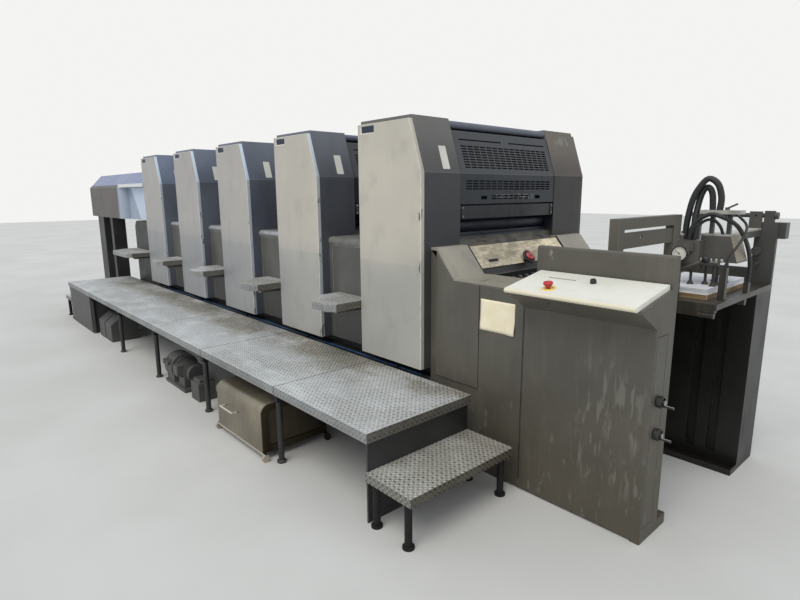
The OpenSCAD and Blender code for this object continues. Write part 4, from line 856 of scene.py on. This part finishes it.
sheets = worn_paint(
    "sheets", (0.76, 0.76, 0.79), (0.6, 0.58, 0.5), (0.72, 0.70, 0.66),
    gloss=0.6, streaks=0.1, clouds=0.04, tone=pile_tone)
dress(["paper_stack"], sheets, 0.0008)


# The air hoses: smooth black rubber pushed on to the head's spigots, greyed on their upper side
# with dust and a painted sheen.
def hose_tone(tree, shown, x, y, z):
    # Dust and painted sheen: the upper side is greyed in patches.
    dust_and_sheen = ramp(facing(tree)[2], -0.2, 0.9) * ramp(cloud(tree, 0.05, 3), 0.3, 0.7, 0.08, 0.36)
    return mix(dust_and_sheen, shown, (0.085, 0.082, 0.072))


rubber = worn_paint(
    "rubber", (0.020, 0.020, 0.020), (0.06, 0.058, 0.052), (0.03, 0.03, 0.03),
    gloss=0.40, streaks=0.2, clouds=0.15, tone=hose_tone)
dress(["air_hoses"], rubber, 0.001)

# The vacuum gauge: a black case with a white dial, plain ticks and a tapered needle, screwed
# into the valve block on the head.
head_x, head_y0 = 3.1915, -0.0905
valve_d, gauge_d = 0.058, 0.024
gauge_x = head_x - 0.052
gauge_z = 1.113
gauge_y = head_y0 - valve_d - gauge_d
needle_turn = math.radians(52)
ticks_r = (0.0205, 0.0255)
dial_white, shader, tree = finish("dial_white")
place = place_of(tree)
across = place[0] - gauge_x
height = place[2] - gauge_z
angle = tree.maths("ARCTAN2", across, height) / (math.pi / 8)
tick = fall(abs(angle - tree.maths("ROUND", angle)), 0.06, 0.10)
tick = tick * band(tree.maths("SQRT", across * across + height * height), *ticks_r, 0.0004)
plug(mix(tick, (0.80, 0.77, 0.68), (0.04, 0.04, 0.04)), shader, "Base Color")
shader.inputs["Roughness"].default_value = 0.3
dial = disc(48, 0.0335, 0.007)
choose_top(dial)
step_in(0.0012, 0.0008)
bpy.ops.mesh.inset(thickness=0.0024)
pull(0, 0, -0.003)
settle("gauge_dial", Matrix.Translation((gauge_x, gauge_y, gauge_z)) @ toward,
       "press", "dark_frame", black_plastic, dial_white)
for part in dial.data.polygons:
    middle = part.center
    if part.normal.y < -0.9 and math.hypot(middle.x - gauge_x, middle.z - gauge_z) < 0.004:
        part.material_index = 1
choose(disc(16, 0.003, 0.0012), lambda middle, normal: normal.y > 0.9)
pull(0, 0.021, 0)
bpy.ops.transform.resize(value=(0.3, 1, 0.4))
turned_needle = toward @ Matrix.Rotation(needle_turn, 4, "Z")
settle("gauge_needle", Matrix.Translation((gauge_x, gauge_y - 0.0048, gauge_z)) @ turned_needle,
       "press", "dark_frame", black_plastic)

# The head's knurled nuts: small bright turned nuts along its foot, over the suckers, screwed
# down on their stems.
nut_x, nut_y, nut_z = head_low_x + 0.10, -0.1155, 1.079
nut_pitch = 0.021
cap_screw(0.0075, 0.012)
nut = settle("head_nut_1", Matrix.Translation((nut_x, nut_y, nut_z)),
             "press", "bright_metal", bright_steel[0])
for k in range(1, 5):
    again(nut, "head_nut_%d" % (k + 1), (nut_pitch * k, 0, 0), "press")

# The delivery: a lavender roof with a white lip over brown-grey sides, slanting guards of pale
# blue-white enamel with pressed ribs, and black posts.
eaves_z = 1.487
by_guard_x = (-3.12, -3.02)
rib_pitch = 0.03
lip_y = (0.764, 0.766)


def delivery_tone(tree, shown, x, y, z):
    """Lavender above the eaves, and pale blue beside the slanting guard."""
    shown = mix(ramp(z, eaves_z + 0.002, eaves_z + 0.012), shown, (0.245, 0.28, 0.405))
    return mix(ramp(x, *by_guard_x) * fall(z, eaves_z - 0.002, eaves_z), shown, (0.36, 0.41, 0.50))


delivery_paint = worn_paint(
    "delivery_paint", (0.106, 0.094, 0.083), (0.20, 0.19, 0.17), (0.34, 0.34, 0.36),
    gloss=0.44, streaks=0.3, clouds=0.12, tone=delivery_tone)
dress(["delivery_housing"], delivery_paint, 0.003)


def enamel_tone(tree, shown, x, y, z):
    """Shaded grooves between the ribs, and a white lip."""
    rib = tree.maths("PINGPONG", x, rib_pitch) / rib_pitch
    shown = stain(fall(rib, 0.0, 0.30) * 0.9, shown, (0.55, 0.58, 0.64))
    return mix(ramp(abs(y), *lip_y), shown, (0.74, 0.74, 0.74))


pale_enamel = worn_paint(
    "pale_enamel", (0.60, 0.69, 0.84), (0.5, 0.5, 0.5), (0.66, 0.68, 0.72),
    gloss=0.32, streaks=0.2, clouds=0.06, tone=enamel_tone)
dress(["delivery_guard"], pale_enamel, 0.002)
frame_black = worn_paint(
    "frame_black", (0.030, 0.027, 0.026), (0.09, 0.085, 0.075), (0.12, 0.115, 0.10),
    gloss=0.42, streaks=0.3, clouds=0.25)
dress(["delivery_frame"], frame_black, 0.002)

# The walkways: aluminium tread plate folded down into a rim, with crossed lozenges pressed in,
# silvery with wear and a painted sheen where feet go, brown with dirt along the towers, on black bearers and legs.
plate_pitch = 0.027
lozenge_len, lozenge_w, lozenge_taper = 0.56, 0.19, 0.16
first_seam, seam_pitch = 1.7095, 0.924
dirty_y = (-1.06, -0.72)


def tread_plate(name, colour, dirt, shine, dark_below, dots=0.4, seams=0.0):
    """Pressed tread plate down to dark_below, where its black bearers or brackets start."""
    material, shader, tree = finish(name)
    x, y, z = place_of(tree)
    normal = facing(tree)
    up = ramp(abs(normal[2]), 0.5, 0.6)
    side = 1 - up
    along = (x * up + (x + y) * side) / plate_pitch
    across = (y * up + z * side) / plate_pitch

    def cell(value):
        return value - value.maths("FLOOR", value) - 0.5

    def lozenge(length, width):
        length = length / lozenge_len
        width = (width + lozenge_taper * (length * length)) / lozenge_w
        return fall(length * length + width * width, 0.35, 1.0)

    middle_u, middle_v = cell(along), cell(across)
    edge_u, edge_v = cell(along + 0.5), cell(across + 0.5)
    raised = tree.maths("MAXIMUM", lozenge(middle_u + edge_v, middle_u - edge_v),
                        lozenge(edge_u - middle_v, edge_u + middle_v))
    pit = fall(middle_u * middle_u + middle_v * middle_v, 0.010, 0.042)
    trodden = ramp(cloud(tree, 0.5, 4, (1.5, 1, 1)), 0.35, 0.62)
    mottle = ramp(cloud(tree, 0.016, 4, rough=0.6), 0.3, 0.7)
    patches = ramp(cloud(tree, 0.26, 4, (1.8, 1, 1), (3, 8, 1)), 0.40, 0.58)
    by_towers = ramp(y + 0.30 * cloud(tree, 0.4, 3, (2, 1, 1)), *dirty_y) * up
    soil = 1 - (1 - by_towers * (0.35 + 0.6 * patches)) * (0.62 + 0.38 * trodden)
    soil = tree.maths("MINIMUM", soil * (0.75 + 0.6 * mottle), 1.0)
    shown = mix(mottle * 0.5, colour, tuple(c * 0.55 for c in colour))
    shown = mix(soil * 0.9, shown, dirt)
    # Worn polish and painted sheen: patches are mixed towards the shine colour.
    polished = ramp(cloud(tree, 0.14, 3, (1.6, 1, 1), (8, 2, 6)), 0.45, 0.65) * (1 - soil)
    shown = mix(polished * 0.35, shown, shine)
    # Painted highlight and wear: the raised lozenges are lighter.
    shown = mix(raised * (0.62 - 0.4 * soil), shown, shine)
    # Dirt and painted shade: the pits between the lozenges are darkened.
    pit_dirt_and_shade = dots * (0.35 + 0.65 * ramp(cloud(tree, 0.12, 3, shift=(5, 1, 1)), 0.38, 0.55))
    shown = mix(pit * pit_dirt_and_shade, shown, tuple(c * 0.2 for c in dirt))
    # Ten pitches are added because MODULO needs a positive value
    lap = x.maths("MODULO", x - first_seam + seam_pitch / 2 + 10 * seam_pitch, seam_pitch)
    seam = abs(lap - seam_pitch / 2)
    # Painted shade: a dark line in the gap where two plates meet.
    shown = stain(fall(seam, 0.0018, 0.0034) * seams, shown, (0.06, 0.06, 0.06))
    # Painted shade: the rim's sides are darker than the top, the outward-facing ones less so.
    outer = fall(normal[1], -0.7, -0.5)
    shown = stain(side, shown, mix(outer, (0.23, 0.21, 0.18), (0.46, 0.46, 0.45)))
    low, high = dark_below - 0.001, dark_below + 0.001
    shown = stain(fall(z, low, high), shown, (0.013, 0.014, 0.017))
    plug(shown, shader, "Base Color")
    plug(0.30 * ramp(z, low, high), shader, "Metallic")
    plug(0.46 - 0.14 * raised + 0.2 * soil + ramp(z, low, high, 0.3, 0), shader, "Roughness")
    plug(relief(raised - 0.3 * pit + 0.3 * mottle, 0.0013), shader, "Normal")
    return material


deck_plate = tread_plate(
    "deck_plate", (0.67, 0.69, 0.70), (0.205, 0.178, 0.125), (0.95, 0.98, 1.0),
    dark_below=0.3765, dots=0.8, seams=1.0)
# The _edge plates dress the bevels and are lighter: painted highlights along the edges, with wear.
deck_edge = tread_plate(
    "deck_edge", (0.80, 0.81, 0.80), (0.36, 0.33, 0.27), (0.92, 0.93, 0.92),
    dark_below=0.3765, dots=0.3, seams=1.0)
dress(["gallery_deck", "drive_gallery"], [deck_plate, deck_edge], 0.004)
foot_plate = tread_plate(
    "foot_plate", (0.70, 0.725, 0.725), (0.30, 0.285, 0.25), (0.96, 0.98, 0.98), dark_below=0.62)
foot_edge = tread_plate(
    "foot_edge", (0.72, 0.74, 0.73), (0.34, 0.325, 0.29), (0.86, 0.87, 0.85), dark_below=0.62)
dress(numbered("footstep", 4) + ["delivery_shelf"], [foot_plate, foot_edge], 0.003)
step_plate = tread_plate(
    "step_plate", (0.47, 0.455, 0.405), (0.26, 0.235, 0.185), (0.92, 0.92, 0.88), dark_below=0.198, dots=1.0)
step_edge = tread_plate(
    "step_edge", (0.62, 0.60, 0.53), (0.30, 0.27, 0.21), (0.80, 0.79, 0.73), dark_below=0.198)
dress(["entry_step"], [step_plate, step_edge], 0.004)
black_steel = worn_paint(
    "black_steel", (0.020, 0.020, 0.020), (0.09, 0.085, 0.075), (0.11, 0.105, 0.10),
    gloss=0.38, streaks=0.3, clouds=0.25)
dress(["gallery_legs"], black_steel, 0.002)

# The footsteps' front rims: the tread plate's edge, folded down round both clipped corners and
# closing the hollow tread from the left flank to the right one.
rim_t, rim_h, rim_z = 0.005, 0.0385, 0.7195
rim_out = 0.0005
# The two clipped corners: along and across the left one, and both ways at the right one
clip_len, clip_w, clip_right = 0.1344, 0.156, 0.045
tread_len = 0.320


def front_rim(x0, x1, y0, name):
    """Models the rim from the left flank round the front to the right flank."""
    t = rim_t
    outline = [(x0, y0 + clip_w), (x0 + clip_len, y0), (x1 - clip_right, y0), (x1, y0 + clip_right)]
    within = [(x1 - t, y0 + clip_right + t * 0.4), (x1 - clip_right - t * 0.4, y0 + t),
              (x0 + clip_len + t * 0.3, y0 + t), (x0 + t, y0 + clip_w + t * 0.5)]
    bpy.ops.object.select_all(action="DESELECT")
    bpy.ops.mesh.primitive_circle_add(vertices=8, fill_type="NGON")
    for vertex, corner in zip(bpy.context.object.data.vertices, outline + within):
        vertex.co = (*corner, 0)
    bpy.ops.object.mode_set(mode="EDIT")
    bpy.ops.mesh.select_all(action="SELECT")
    pull(0, 0, rim_h)
    face_outwards()
    bpy.ops.mesh.bevel(offset=0.0012, segments=2)
    return settle(name, Matrix.Translation((0, 0, rim_z)), "press", "tread_plate", foot_plate)


step_low, step_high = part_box("footstep_1")
rim = front_rim(step_high.x - tread_len - rim_out, step_high.x + rim_out, step_low.y - rim_out, "foot_rim_1")
for k in range(2, 5):
    again(rim, "foot_rim_%d" % k, ((1 - k) * pitch, 0, 0), "press")
shelf_low, shelf_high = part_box("delivery_shelf")
front_rim(shelf_low.x - rim_out, shelf_high.x + rim_out, shelf_low.y - rim_out, "shelf_rim")

# The air line: a blue nylon tube clipped along the bed's side in the gap behind the walkway,
# with both ends pushed into fittings on the bed.
blue_nylon = mottled("blue_nylon", 0.04, 3, (0.010, 0.055, 0.15), (0.03, 0.11, 0.24), 0.35, 0.15)
line_x, line_z = 2.05, 0.402
line_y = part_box("base_frame")[0].y - 0.0075
line_step, sag = 0.2, 0.006
clip_x, clip_pitch = 1.86, 0.93
bpy.ops.object.select_all(action="DESELECT")
bpy.ops.curve.primitive_nurbs_path_add()
line = bpy.context.object
spline = line.data.splines[0]
spline.points.add(16)
last_point = len(spline.points) - 1
for k, point in enumerate(spline.points):
    point.co = (line_x - line_step * k, 0, sag * math.sin(2.4 * k) * (0 < k < last_point), 1)
spline.use_endpoint_u = True
line.data.bevel_depth = 0.006
line.data.bevel_resolution = 3
line.data.use_fill_caps = True
bpy.ops.object.convert(target="MESH")
bpy.ops.object.shade_smooth_by_angle(angle=math.radians(40))
settle("air_line", Matrix.Translation((0, line_y, line_z)), "press", "hose", blue_nylon)
thin_plate(0.030, 0.012, 0.0165, 0.003)
upright_clip = toward @ Matrix.Rotation(math.pi / 2, 4, "Z")
clip = settle("line_clip_1", Matrix.Translation((clip_x, line_y + 0.0075, line_z)) @ upright_clip,
              "press", "hose", black_plastic)
for k in range(1, 5):
    again(clip, "line_clip_%d" % (k + 1), (-clip_pitch * k, 0, 0), "press")

# The service units on the floor under the walkway: a stainless drum on a wheeled cradle with
# bright rods and a bar handle, a grey cast blower and painted boxes.
tank_low, tank_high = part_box("service_tank")
rods_y, rods_z = (-1.43, -1.42), (0.0415, 0.042)


def tank_tone(tree, shown, x, y, z):
    """Brushed along its length, with a dark end, bright rods below and a bright handle."""
    shown = stain(ramp(cloud(tree, 0.004, 3, (1, 1, 40)), 0.3, 0.7) * 0.5, shown, (0.66, 0.63, 0.58))
    shown = stain(ramp(x, tank_high.x - 0.035, tank_high.x - 0.028), shown, (0.22, 0.2, 0.17))
    rods = fall(z, *rods_z) * fall(y, *rods_y)
    shown = mix(rods, shown, (0.50, 0.45, 0.37))
    handle = fall(y, tank_low.y + 0.030, tank_low.y + 0.034) * ramp(z, 0.06, 0.08)
    return mix(handle, shown, (0.72, 0.68, 0.60))


stainless = worn_paint(
    "stainless", (0.31, 0.27, 0.205), (0.46, 0.42, 0.34), (0.55, 0.52, 0.44),
    gloss=0.34, streaks=0.45, clouds=0.25, metal=0.75, tone=tank_tone)
dress(["service_tank"], stainless, 0.003)
cast_grey = worn_paint(
    "cast_grey", (0.075, 0.074, 0.070), (0.18, 0.17, 0.15), (0.16, 0.155, 0.14),
    gloss=0.5, streaks=0.3, clouds=0.25)
dress(["pump_unit", "service_boxes"], cast_grey, 0.002)
